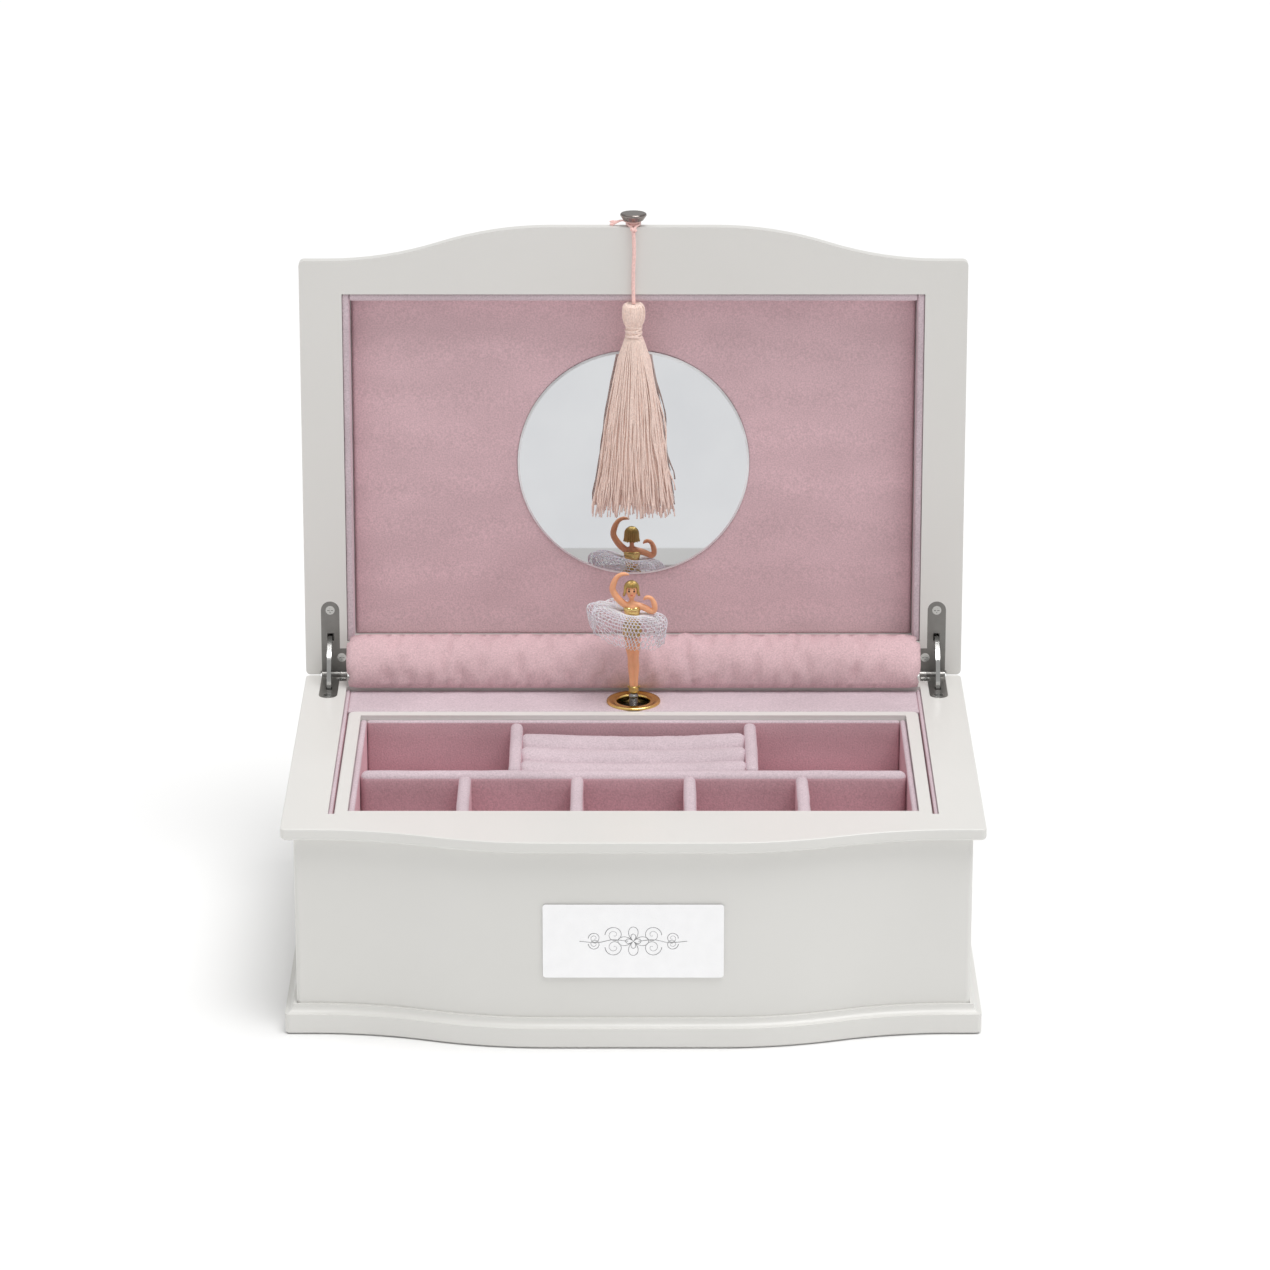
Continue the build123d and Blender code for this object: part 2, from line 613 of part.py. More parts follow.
def comb():
    """Steel comb: eighteen tuned teeth cut from one plate."""
    plate = block(-24, -6.9, 56.5, 57.3, 44.5, 62.5)
    for i in range(1, 18):
        plate -= block(-16.5 + 0.25 * i, -6, 56, 58, 44.5 + i - 0.13, 44.5 + i + 0.13)
    for z in comb_screw_heights():
        plate -= Pos(-20.5, 57.0, z) * Rot(X=90) * Cylinder(0.6, 4)
    return plate


def music_cylinder():
    """Brass cylinder with a sparse spiral of tune pins, bored for its arbor."""
    z0, z1 = CYLINDER_Z
    drum = Pos(0, SPINDLE_Y, (z0 + z1) / 2) * Cylinder(CYLINDER_R, z1 - z0)
    for i in range(18):
        for j in range(2):
            angle = 67.0 * i + 180.0 * j
            pin = Pos(CYLINDER_R, 0, z0 + 1.5 + i) * Rot(Y=90) * Cylinder(0.25, 1.4)
            drum += Pos(0, SPINDLE_Y, 0) * Rot(Z=angle) * pin
    return drum - Pos(0, SPINDLE_Y, (z0 + z1) / 2) * Cylinder(SPINDLE_R, 40)


def cylinder_arbor():
    """Upright arbor with the driven pinion below and the fan wheel above the cylinder."""
    rod = Pos(0, SPINDLE_Y, (32.0 + 80.0) / 2) * Cylinder(SPINDLE_R, 48.0)
    pinion = Pos(0, SPINDLE_Y, BARREL_Z + CROWN_R - 1.6) * Rot(Z=90) * spur(PINION_TEETH, MODULE, 3.2)
    wheel = Pos(0, SPINDLE_Y, 64.0) * spur(FAN_WHEEL_TEETH, FAN_MODULE, 1.0)
    return rod + pinion + wheel


def great_wheel():
    """Crown wheel: teeth stand forward from a flat disc and mesh with the pinion above."""
    rim_r = CROWN_R + 1.0
    root = 1.15 * MODULE
    disc = Pos(0, CROWN_Y + root + 0.6, BARREL_Z) * Rot(X=90) * Cylinder(rim_r, 1.2)
    half_root, half_tip = MODULE * 0.70, MODULE * 0.28
    foot, tip = root + 0.1, -0.8 * MODULE
    corners = ((-half_root, foot), (half_root, foot), (half_tip, tip), (-half_tip, tip))
    tooth = extrude(make_face(Polyline(*corners, close=True)), amount=1.8)
    for i in range(CROWN_TEETH):
        angle = 360 * (i + 0.5) / CROWN_TEETH
        disc += Pos(0, CROWN_Y, BARREL_Z) * Rot(Y=angle) * Pos(0, 0, CROWN_R - 0.9) * tooth
    return disc - Pos(0, CROWN_Y, BARREL_Z) * Rot(X=90) * Cylinder(ARBOR_R + 0.05, 20)


def barrel_parts():
    y0 = CROWN_Y + 1.15 * MODULE + 1.2
    y1 = PLATE_FACE_Y - 0.4
    centre = Pos(0, (y0 + y1) / 2, BARREL_Z) * Rot(X=90)
    length = y1 - y0
    drum = centre * (Cylinder(13.0, length) - Cylinder(12.0, length - 1.6))
    drum -= centre * Cylinder(ARBOR_R + 0.05, 40)
    turns, pitch, strip = 6, 1.3, 0.5
    edges = []
    radius = 3.2
    x_left = -radius
    for k in range(2 * turns):
        r = radius + k * pitch / 2
        centre_x = x_left + r if k % 2 == 0 else x_left - r
        far_x = centre_x + (r if k % 2 == 0 else -r)
        top = r if k % 2 == 0 else -r
        edges.append(ThreePointArc((x_left, 0), (centre_x, top), (far_x, 0)))
        x_left = far_x
    band = trace(Curve() + edges, line_width=strip)
    spring = Pos(0, y1 - 1.2, BARREL_Z) * Rot(X=90) * extrude(band, amount=length - 2.4)
    return {"mainspring_barrel": drum, "mainspring": spring}


def winding_parts():
    y0 = CROWN_Y - 0.5
    y1 = BODY_REAR + 2.0
    arbor = Pos(0, (y0 + y1) / 2, BARREL_Z) * Rot(X=90) * Cylinder(ARBOR_R, y1 - y0)
    hub = Pos(0, y1 + 3.0, BARREL_Z) * Rot(X=90) * Cylinder(3.2, 6.0)
    wings = Pos(0, y1 + 6.0, BARREL_Z) * Rot(X=90) * extrude(SlotOverall(24, 11), amount=0.9, both=True)
    for side in (-1, 1):
        wings -= Pos(side * 7.2, y1 + 6.0, BARREL_Z) * Rot(X=90) * Cylinder(3.0, 6)
    return {"winding_arbor": arbor, "winding_key": hub + wings}


def governor_fan():
    """Air brake: a pinion and two thin vanes on an upright shaft."""
    shaft = Pos(0, 0, 71.0) * Cylinder(0.6, 16.0)
    half_tooth = 180 / FAN_PINION_TEETH
    pinion = Pos(0, 0, 63.9) * Rot(Z=half_tooth) * spur(FAN_PINION_TEETH, FAN_MODULE, 1.2, 0.1)
    vanes = block(-4.5, 4.5, -0.3, 0.3, 69.5, 76.5)
    return Pos(FAN_X, SPINDLE_Y, 0) * (shaft + pinion + vanes)


def movement_parts():
    outside = [Pos(*p) * Rot(X=-90) * screw(2.1, 1.2, 0.8, 9.0) for p in movement_screw_places()]
    one = Rot(X=90) * screw(1.2, 0.7, 0.6, 4.0)
    comb_screw = [Pos(-20.5, 56.5 - 0.7, z) * one for z in comb_screw_heights()]
    return {
        "movement_bedplate": bedplate(),
        "comb": comb(),
        "movement_screws": group(outside + comb_screw),
        "music_cylinder": music_cylinder(),
        "cylinder_arbor": cylinder_arbor(),
        "great_wheel": great_wheel(),
        "governor_fan": governor_fan(),
        **barrel_parts(),
        **winding_parts(),
    }


# ---- figure -------------------------------------------------------------------------------
SHOE_Z = BOX_H + 2.3


def figure_parts():
    """A small dancer: one arm raised over her head, the other bent at her side."""
    def at(x, height):
        return (x, 0.0, BOX_H + height)

    chest = limb(at(-0.6, 36.8), at(-0.6, 40.2), 2.6, 2.9)
    torso = Pos(-0.6, 0, BOX_H + 40.9) * Cone(2.4, 1.6, 1.4)
    head = Pos(-0.8, 0, BOX_H + 46.2) * Sphere(3.1)
    neck = Pos(-0.8, 0, BOX_H + 42.4) * Cylinder(1.1, 3.0)
    arms = limb(at(-3.0, 40.4), at(-9.2, 47.4), 1.35, 1.3) + limb(at(-9.2, 47.4), at(-4.2, 54.2), 1.3, 0.8)
    arms += limb(at(2.4, 40.4), at(9.6, 37.9), 1.35, 1.3) + limb(at(9.6, 37.9), at(6.6, 43.8), 1.3, 0.9)
    upper = torso + head + neck + arms - block(-4.2, 3.0, -4, 4, BOX_H + 30, BOX_H + 40.2)
    legs = Pos(0, 0, BOX_H + 19.6) * Cone(1.75, 3.2, 28.0)
    bodice = Pos(-0.6, 0, BOX_H + 36.9) * Cone(2.3, 3.3, 6.6)
    shoes = Pos(0, 0, SHOE_Z + 1.6) * Cylinder(2.1, 3.2)
    hair_shell = Pos(-0.8, 0.3, BOX_H + 47.0) * Sphere(3.9)
    hair_shell -= head + neck + arms
    hair_shell -= block(-6, 6, -6, -0.6, BOX_H + 40, BOX_H + 48.2)
    net = revolve(
        Plane.XZ * make_face(
            Polyline((3.9, 5.6), (16.6, 2.2), (15.6, -4.6), (9.0, -8.4), (3.9, -6.6), close=True)
        ),
        axis=Axis.Z,
    )
    tutu = Pos(-2.6, 0, BOX_H + 30.6) * Rot(Y=15) * net
    place = Pos(0, SPINDLE_Y, 0)
    tutu -= Pos(-0.4, 0, BOX_H + 30) * Cylinder(4.0, 40)
    spring = Pos(0, SPINDLE_Y, (80.1 + SHOE_Z) / 2) * Cylinder(2.1, SHOE_Z - 80.1)
    return {
        "ballerina_body": place * group([upper, legs]),
        "ballerina_costume": place * group([bodice, shoes]),
        "ballerina_hair": place * hair_shell,
        "ballerina_tutu": place * tutu,
        "coil_spring": spring,
    }


# ---- write one file per node --------------------------------------------------------------
def all_parts():
    return {
        **case_parts(),
        "base_moulding": base_moulding(),
        "top_rim": top_rim(),
        "engraved_plate": engraved_plate(),
        **well_parts(),
        **hinge_parts(),
        **lid_parts(),
        "hinge_cover_roll": hinge_cover_roll(),
        **knob_parts(),
        **tassel_parts(),
        **tray_parts(),
        **movement_parts(),
        **figure_parts(),
    }


os.makedirs("parts", exist_ok=True)
for node, shape in all_parts().items():
    export_step(shape, f"parts/{node}.step")
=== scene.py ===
import math
import random

import bmesh
import bpy
import numpy as np
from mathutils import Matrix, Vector, noise


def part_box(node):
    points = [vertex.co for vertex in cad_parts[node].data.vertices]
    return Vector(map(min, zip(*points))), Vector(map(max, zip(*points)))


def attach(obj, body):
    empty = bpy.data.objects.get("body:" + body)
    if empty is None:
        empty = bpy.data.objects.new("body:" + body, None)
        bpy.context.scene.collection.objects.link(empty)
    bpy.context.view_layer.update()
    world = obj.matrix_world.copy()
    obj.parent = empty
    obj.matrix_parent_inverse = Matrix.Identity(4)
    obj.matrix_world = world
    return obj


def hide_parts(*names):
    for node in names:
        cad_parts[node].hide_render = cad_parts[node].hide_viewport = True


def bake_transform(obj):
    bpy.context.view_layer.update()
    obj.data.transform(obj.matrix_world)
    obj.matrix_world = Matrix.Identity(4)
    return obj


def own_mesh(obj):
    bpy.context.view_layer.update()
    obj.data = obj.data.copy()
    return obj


# Ballerina jewellery box with its lid open. Lengths in the tables below are millimetres, in the
# CAD's own frame: X to the right, the front faces -Y, +Z up. MM turns them into Blender's metres.

MM = 0.001
PAD = 2.6                   # lining of the tray's walls
WELL_LINER = 1.6
LID_LINER = 3.0
SPINDLE_Y = 60.5
OPEN_DEG = 92.0
HINGE_LINE = (89.0, 86.65)  # y and z of the lid's axis

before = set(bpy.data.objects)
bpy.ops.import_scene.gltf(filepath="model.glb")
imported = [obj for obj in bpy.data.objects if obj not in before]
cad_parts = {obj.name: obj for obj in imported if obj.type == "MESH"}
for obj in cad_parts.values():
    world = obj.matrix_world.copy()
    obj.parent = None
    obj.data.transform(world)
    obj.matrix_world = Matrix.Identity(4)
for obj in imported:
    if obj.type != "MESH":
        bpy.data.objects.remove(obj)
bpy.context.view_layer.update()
random.seed(7)


def corners(node):
    """Lowest and highest corner of a CAD node, in millimetres."""
    low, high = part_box(node)
    return low / MM, high / MM


# ---- materials ------------------------------------------------------------------------------
def material(name, colour, rough, **inputs):
    """A principled material. Keyword names are the shader's sockets with _ for a space."""
    mat = bpy.data.materials.new(name)
    mat.use_nodes = True
    shader = mat.node_tree.nodes["Principled BSDF"]
    shader.inputs["Base Color"].default_value = (*colour, 1)
    shader.inputs["Roughness"].default_value = rough
    for key, value in inputs.items():
        shader.inputs[key.replace("_", " ")].default_value = value
    return mat


def noise_fac(mat, scale, detail=2.0, stretch=(1, 1, 1)):
    nodes, links = mat.node_tree.nodes, mat.node_tree.links
    coords = nodes.new("ShaderNodeTexCoord")
    mapping = nodes.new("ShaderNodeMapping")
    mapping.inputs["Scale"].default_value = stretch
    texture = nodes.new("ShaderNodeTexNoise")
    texture.inputs["Scale"].default_value = scale
    texture.inputs["Detail"].default_value = detail
    links.new(coords.outputs["Object"], mapping.inputs["Vector"])
    links.new(mapping.outputs["Vector"], texture.inputs["Vector"])
    return texture.outputs[0]


def tones(mat, fac, dark, light, low=0.3, high=0.7):
    node = mat.node_tree.nodes.new("ShaderNodeValToRGB")
    first, last = node.color_ramp.elements
    first.position, first.color = low, (*dark, 1)
    last.position, last.color = high, (*light, 1)
    mat.node_tree.links.new(fac, node.inputs["Fac"])
    return node.outputs["Color"]


def multiplied(mat, one, other):
    node = mat.node_tree.nodes.new("ShaderNodeMix")
    node.data_type, node.blend_type = "RGBA", "MULTIPLY"
    node.inputs["Factor"].default_value = 1.0
    colour_inputs = [s for s in node.inputs if s.type == "RGBA"]
    mat.node_tree.links.new(one, colour_inputs[0])
    mat.node_tree.links.new(other, colour_inputs[1])
    return [s for s in node.outputs if s.type == "RGBA"][0]


def set_colour(mat, colour):
    mat.node_tree.links.new(colour, mat.node_tree.nodes["Principled BSDF"].inputs["Base Color"])


def set_roughness(mat, fac, low, high):
    node = mat.node_tree.nodes.new("ShaderNodeMapRange")
    node.inputs["To Min"].default_value = low
    node.inputs["To Max"].default_value = high
    mat.node_tree.links.new(fac, node.inputs["Value"])
    mat.node_tree.links.new(node.outputs[0], mat.node_tree.nodes["Principled BSDF"].inputs["Roughness"])


def set_bump(mat, fac, depth, strength=1.0):
    node = mat.node_tree.nodes.new("ShaderNodeBump")
    node.inputs["Distance"].default_value = depth
    node.inputs["Strength"].default_value = strength
    mat.node_tree.links.new(fac, node.inputs["Height"])
    mat.node_tree.links.new(node.outputs["Normal"], mat.node_tree.nodes["Principled BSDF"].inputs["Normal"])


def scaled(colour, factor):
    return tuple(c * factor for c in colour)


def velvet(name, colour):
    """Short pile: fine grain, and broad lighter and darker patches, a painted sheen where the nap lies
    another way.
    """
    mat = material(name, colour, 0.9, Sheen_Weight=0.35, Sheen_Roughness=0.45)
    mat.node_tree.nodes["Principled BSDF"].inputs["Sheen Tint"].default_value = (*scaled(colour, 1.3), 1)
    # Broad patches up to a tenth darker: painted sheen of the pile lying different ways.
    painted_sheen_patches = tones(mat, noise_fac(mat, 26, 3, (1, 1, 2.2)), scaled((1, 1, 1), 0.9), (1, 1, 1), 0.35, 0.65)
    grain = noise_fac(mat, 1500, 3)
    fine = tones(mat, grain, scaled(colour, 0.84), scaled(colour, 1.1))
    set_colour(mat, multiplied(mat, fine, painted_sheen_patches))
    set_bump(mat, grain, 0.00018, 0.6)
    return mat


def painted_wood():
    mat = material("painted_wood", (0.8, 0.79, 0.76), 0.35, Coat_Weight=0.25, Coat_Roughness=0.25)
    patches = noise_fac(mat, 9, 3)
    set_colour(mat, tones(mat, patches, (0.735, 0.728, 0.70), (0.77, 0.762, 0.737)))
    set_roughness(mat, noise_fac(mat, 60, 3), 0.30, 0.42)
    set_bump(mat, noise_fac(mat, 420, 2), 0.00004, 0.35)
    return mat


def bare_wood():
    mat = material("board", (0.5, 0.37, 0.25), 0.6)
    grain = noise_fac(mat, 60, 4, (1, 12, 12))
    set_colour(mat, tones(mat, grain, (0.42, 0.30, 0.19), (0.58, 0.44, 0.30)))
    set_bump(mat, grain, 0.0001, 0.5)
    return mat


def metal(name, colour, rough, streak=(1, 1, 1), spread=0.08, tone=0.88):
    """Metal with fine tool marks along one way and slightly uneven tone."""
    mat = material(name, colour, rough, Metallic=1.0)
    set_colour(mat, tones(mat, noise_fac(mat, 220, 3), scaled(colour, tone), colour))
    marks = noise_fac(mat, 900, 2, streak)
    set_roughness(mat, marks, max(rough - spread, 0.02), rough + spread)
    set_bump(mat, marks, 0.00001, 0.3)
    return mat


def silk(name, colour):
    """Shiny twisted rayon thread. A faint glow in the thread's own colour is painted light that lifts the
    shade between the threads.
    """
    # Emission in the thread's own colour: painted light in the shade between threads.
    mat = material(name, colour, 0.27, Specular_IOR_Level=0.95, Sheen_Weight=0.4, Emission_Strength=0.05)
    mat.node_tree.nodes["Principled BSDF"].inputs["Emission Color"].default_value = (*colour, 1)
    ply = noise_fac(mat, 1500, 2, (1, 1, 0.7))
    set_colour(mat, tones(mat, ply, scaled(colour, 0.80), scaled(colour, 1.0)))
    set_bump(mat, ply, 0.00022, 0.9)
    return mat


def plastic(name, colour, rough, depth=0.00002):
    mat = material(name, colour, rough, Subsurface_Weight=0.08, Subsurface_Scale=0.001)
    set_colour(mat, tones(mat, noise_fac(mat, 300, 2), scaled(colour, 0.93), scaled(colour, 1.03)))
    set_bump(mat, noise_fac(mat, 1200, 2), depth, 0.4)
    return mat


def felt():
    mat = material("felt", (0.12, 0.10, 0.10), 0.95, Sheen_Weight=0.3)
    fibres = noise_fac(mat, 900, 4)
    set_colour(mat, tones(mat, fibres, (0.08, 0.065, 0.065), (0.16, 0.135, 0.135)))
    set_bump(mat, fibres, 0.0002, 0.8)
    return mat


def mirror_glass():
    mat = material("mirror_glass", (0.68, 0.69, 0.70), 0.02, Metallic=1.0)
    cloud = noise_fac(mat, 30, 3)
    set_colour(mat, tones(mat, cloud, (0.625, 0.635, 0.655), (0.665, 0.675, 0.69)))
    set_roughness(mat, cloud, 0.012, 0.03)
    return mat


WOOD = painted_wood()
BOARD = bare_wood()
# ROSE and LID_ROSE are one velvet: ROSE, used inside the tray and the well, is a darker copy, painted shade
# of the deep box.
ROSE = velvet("rose_velvet", (0.675, 0.435, 0.48))
LID_ROSE = velvet("lid_rose_velvet", (0.755, 0.525, 0.565))
PALE = velvet("pale_velvet", (0.66, 0.54, 0.585))
ROLL = velvet("roll_velvet", (0.735, 0.51, 0.54))
FELT = felt()
SILVER = metal("silver_plate", (0.86, 0.86, 0.87), 0.12, (1, 1, 14), 0.03, 0.97)
ENGRAVED = metal("engraved_line", (0.42, 0.42, 0.43), 0.45)
MIRROR = mirror_glass()
MIRROR_EDGE = metal("mirror_edge", (0.86, 0.87, 0.88), 0.5)
GOLD = metal("gold", (0.95, 0.68, 0.24), 0.17, tone=0.95)
GOLD_PAINT = metal("gold_paint", (0.58, 0.42, 0.16), 0.38)
GOLD_FOIL = metal("gold_foil", (0.92, 0.70, 0.28), 0.24)
PEWTER = metal("pewter", (0.25, 0.245, 0.235), 0.33, (1, 12, 1))
KNOB_METAL = metal("knob_metal", (0.30, 0.265, 0.25), 0.14, tone=0.95)
PEWTER_LIGHT = metal("pewter_light", (0.40, 0.39, 0.375), 0.34, (1, 12, 1))
STEEL = metal("bright_steel", (0.62, 0.62, 0.61), 0.13)
SPRING = metal("spring_steel", (0.42, 0.41, 0.40), 0.25)
BRASS = metal("movement_brass", (0.78, 0.58, 0.26), 0.3)
ZINC = metal("cast_zinc", (0.50, 0.50, 0.50), 0.48)
FAN_PLASTIC = plastic("fan_plastic", (0.75, 0.74, 0.70), 0.45)
SKIN = plastic("skin_plastic", (0.93, 0.46, 0.25), 0.34)
DARK_PAINT = plastic("eye_paint", (0.05, 0.03, 0.02), 0.35)
LIP_PAINT = plastic("lip_paint", (0.62, 0.08, 0.06), 0.35)
NET = plastic("white_net", (0.90, 0.88, 0.93), 0.55)
SILK = silk("silk", (1.0, 0.78, 0.685))
CORD_SILK = silk("cord_silk", (1.0, 0.63, 0.585))

FINISHES = {
    WOOD: ["front_panel", "back_panel", "right_side_panel", "left_side_panel", "base_moulding",
           "top_rim", "lid_frame", "lid_top_panel", "tray_frame"],
    BOARD: ["bottom_panel", "tray_floor", "tray_ledges"],
    FELT: ["bottom_felt"],
    PALE: ["shelf_partition"],
    SILVER: ["engraved_plate"],
    PEWTER: ["hinge_upper_leaves", "hinge_pins"],
    KNOB_METAL: ["tassel_knob"],
    PEWTER_LIGHT: ["hinge_lower_leaves"],
    STEEL: ["hinge_screws_upper", "hinge_screws_lower", "right_hinge_arm", "left_hinge_arm",
            "winding_arbor", "winding_key", "cylinder_arbor", "comb", "movement_screws"],
    SPRING: ["mainspring"],
    BRASS: ["music_cylinder", "great_wheel", "mainspring_barrel"],
    ZINC: ["movement_bedplate"],
    FAN_PLASTIC: ["governor_fan"],
}


def finish_cad_nodes():
    for mat, names in FINISHES.items():
        for name in names:
            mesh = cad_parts[name].data
            mesh.materials.clear()
            mesh.materials.append(mat)


# ---- mesh helpers ---------------------------------------------------------------------------
class Build:
    """Points and faces gathered from several simple forms, in millimetres."""

    def __init__(self):
        self.points, self.faces = [], []

    def add(self, points, faces):
        first = len(self.points)
        self.points += [Vector(p) for p in points]
        self.faces += [[first + i for i in face] for face in faces]

    def grid(self, rows, close_rows=False, close_columns=True, caps=True):
        """Quads between rows of equal length. Columns wrap round; caps close the first and last row."""
        n, m = len(rows), len(rows[0])
        faces = []
        for i in range(n if close_rows else n - 1):
            for j in range(m if close_columns else m - 1):
                a, b = i * m + j, i * m + (j + 1) % m
                c, d = ((i + 1) % n) * m + (j + 1) % m, ((i + 1) % n) * m + j
                faces.append([a, b, c, d])
        if caps and not close_rows:
            faces += [list(range(m))[::-1], [(n - 1) * m + j for j in range(m)]]
        self.add([p for row in rows for p in row], faces)

    def tube(self, line, radii, sides=8, flat=1.0):
        """A round bar along a line, turning as little as it can. flat squeezes it front to back."""
        line = [Vector(p) for p in line]
        side = Vector((0, 0, 1)) if abs((line[1] - line[0]).normalized().z) < 0.9 else Vector((1, 0, 0))
        rows = []
        for i, (here, radius) in enumerate(zip(line, radii)):
            ahead = (line[min(i + 1, len(line) - 1)] - line[max(i - 1, 0)]).normalized()
            side = (side - ahead * side.dot(ahead)).normalized()
            other = ahead.cross(side)
            ring = []
            for k in range(sides):
                turn = 2 * math.pi * k / sides
                out = side * math.cos(turn) + other * math.sin(turn)
                ring.append(here + Vector((out.x, out.y * flat, out.z)) * radius)
            rows.append(ring)
        self.grid(rows)

    def ball(self, centre, radii, rings=14, sides=20):
        rows = []
        for i in range(rings + 1):
            down = math.pi * min(max(i / rings, 0.02), 0.98)
            rows.append([
                (centre[0] + radii[0] * math.sin(down) * math.cos(2 * math.pi * k / sides),
                 centre[1] + radii[1] * math.sin(down) * math.sin(2 * math.pi * k / sides),
                 centre[2] + radii[2] * math.cos(down))
                for k in range(sides)
            ])
        self.grid(rows)

    def lathe(self, profile, centre, sides=96, closed=True):
        """A closed profile of (radius, height) turned about a vertical axis."""
        rows = [
            [(centre[0] + r * math.cos(2 * math.pi * k / sides),
              centre[1] + r * math.sin(2 * math.pi * k / sides), centre[2] + z) for k in range(sides)]
            for r, z in profile
        ]
        self.grid(rows, close_rows=closed, caps=not closed)

    def piece(self, name, *materials, smooth=True):
        mesh = bpy.data.meshes.new(name)
        mesh.from_pydata([p * MM for p in self.points], [], self.faces)
        tidy = bmesh.new()
        tidy.from_mesh(mesh)
        bmesh.ops.recalc_face_normals(tidy, faces=tidy.faces)
        tidy.to_mesh(mesh)
        tidy.free()
        obj = bpy.data.objects.new(name, mesh)
        bpy.context.scene.collection.objects.link(obj)
        for mat in materials:
            mesh.materials.append(mat)
        mesh.polygons.foreach_set("use_smooth", [smooth] * len(mesh.polygons))
        return obj


def placed(obj, body, slot, *nodes):
    """The piece rides a body and stands for CAD nodes, which it hides. slot is not used."""
    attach(obj, body)
    return stands_for(obj, slot, *nodes)


def stands_for(obj, slot, *nodes):
    if nodes:
        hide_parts(*nodes)
    return obj


def baked(obj):
    """The piece with its modifiers worked into its mesh."""
    graph = bpy.context.evaluated_depsgraph_get()
    mesh = bpy.data.meshes.new_from_object(obj.evaluated_get(graph))
    obj.modifiers.clear()
    obj.data = mesh
    return obj


def smooth_line(points, steps):
    """A smooth line through given points, evenly many steps between each two."""
    pts = [np.array(p, float) for p in points]
    pts = [2 * pts[0] - pts[1], *pts, 2 * pts[-1] - pts[-2]]
    out = []
    for a, b, c, d in zip(pts, pts[1:], pts[2:], pts[3:]):
        for k in range(steps):
            t = k / steps
            out.append(0.5 * (2 * b + (c - a) * t + (2 * a - 5 * b + 4 * c - d) * t * t
                              + (3 * b - a - 3 * c + d) * t ** 3))
    return [*out, pts[-2]]


def mix(a, b, t):
    return a + (b - a) * t


def ease(t):
    t = min(max(t, 0.0), 1.0)
    return t * t * (3 - 2 * t)


def rough_value(point, size, seed=0.0):
    """Smooth random value from -1 to 1 that changes over about size millimetres."""
    return noise.noise(Vector(point) / size + Vector((seed, seed * 1.7, -seed)))


def turned(point, degrees):
    """Where a point goes when it turns about the lid's hinge line."""
    turn = math.radians(degrees)
    y, z = point[1] - HINGE_LINE[0], point[2] - HINGE_LINE[1]
    return Vector((point[0], HINGE_LINE[0] + y * math.cos(turn) - z * math.sin(turn),
                   HINGE_LINE[1] + y * math.sin(turn) + z * math.cos(turn)))


def opened(point):
    """Where a point of the closed lid is with the lid open."""
    return turned(point, -OPEN_DEG)


def closed(point):
    """Where a point of the open lid is with the lid closed."""
    return turned(point, OPEN_DEG)


def closed_corners(node):
    """Corners of a lid node in the closed lid's place, in millimetres."""
    points = [closed(Vector(v.co) / MM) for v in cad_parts[node].data.vertices]
    return (Vector(min(p[i] for p in points) for i in range(3)),
            Vector(max(p[i] for p in points) for i in range(3)))


# ---- velvet covered boards ------------------------------------------------------------------
def soft_box(build, low, high, radius, wobble=0.1):
    """A board wrapped in cloth: rounded edges and a slightly uneven surface."""
    size = Vector(high) - Vector(low)
    shape = bmesh.new()
    bmesh.ops.create_cube(shape, size=1.0)
    for v in shape.verts:
        v.co = Vector([mix(low[i], high[i], v.co[i] + 0.5) for i in range(3)])
    for axis in range(3):
        normal = Vector([axis == i for i in range(3)])
        for k in range(1, min(int(size[axis] / 6), 40)):
            at = Vector(low) + normal * size[axis] * k / min(int(size[axis] / 6), 40)
            bmesh.ops.bisect_plane(shape, geom=shape.verts[:] + shape.edges[:] + shape.faces[:],
                                   plane_co=at, plane_no=normal)
    sharp = [e for e in shape.edges if e.calc_face_angle(0) > 1.0]
    bmesh.ops.bevel(shape, geom=sharp, offset=min(radius, min(size) * 0.45), segments=4, profile=0.5,
                    affect="EDGES", clamp_overlap=True)
    middle = (Vector(low) + Vector(high)) / 2
    shape.normal_update()
    for v in shape.verts:
        push = (rough_value(v.co, 9.0) - 0.55) * wobble
        v.co += v.normal * push if (v.co - middle).length > 0 else Vector()
    shape.verts.index_update()
    build.add([v.co.copy() for v in shape.verts], [[v.index for v in f.verts] for f in shape.faces])
    shape.free()


def painted_lit_tops(obj):
    """Painted light and shade on one cloth: the pale pile in slot 1 on what faces up, as lit from above, and
    the deeper colour in slot 0 on the walls, as shade.
    """
    for polygon in obj.data.polygons:
        polygon.material_index = 1 if polygon.normal.z > 0.35 else 0
    return obj


def walls_round(low, high, t, sides="lrfb"):
    """Boxes for a lining round the inside of a rectangle: left, right, front, back."""
    x0, y0, z0 = low
    x1, y1, z1 = high
    boxes = {
        "l": ((x0, y0, z0), (x0 + t, y1, z1)),
        "r": ((x1 - t, y0, z0), (x1, y1, z1)),
        "f": ((x0 + t, y0, z0), (x1 - t, y0 + t, z1)),
        "b": ((x0 + t, y1 - t, z0), (x1 - t, y1, z1)),
    }
    return [boxes[s] for s in sides]


def linings():
    low, high = corners("tray_wall_liners")
    tray = Build()
    for box_low, box_high in walls_round(low, high, PAD):
        soft_box(tray, box_low, box_high, 1.1)
    obj = placed(tray.piece("tray_wall_velvet", ROSE, PALE), "tray", "rose_velvet", "tray_wall_liners")
    painted_lit_tops(obj)
    low, high = corners("well_wall_liners")
    well = Build()
    for box_low, box_high in walls_round(low, high, WELL_LINER, "lrf"):
        soft_box(well, box_low, box_high, 0.7, 0.05)
    obj = placed(well.piece("well_wall_velvet", ROSE, PALE), "box", "rose_velvet", "well_wall_liners")
    painted_lit_tops(obj)
    for node, body in (("tray_floor_lining", "tray"), ("well_floor_liner", "box")):
        floor = Build()
        soft_box(floor, *corners(node), 0.5, 0.08)
        placed(floor.piece(node + "_velvet", ROSE), body, "rose_velvet", node)


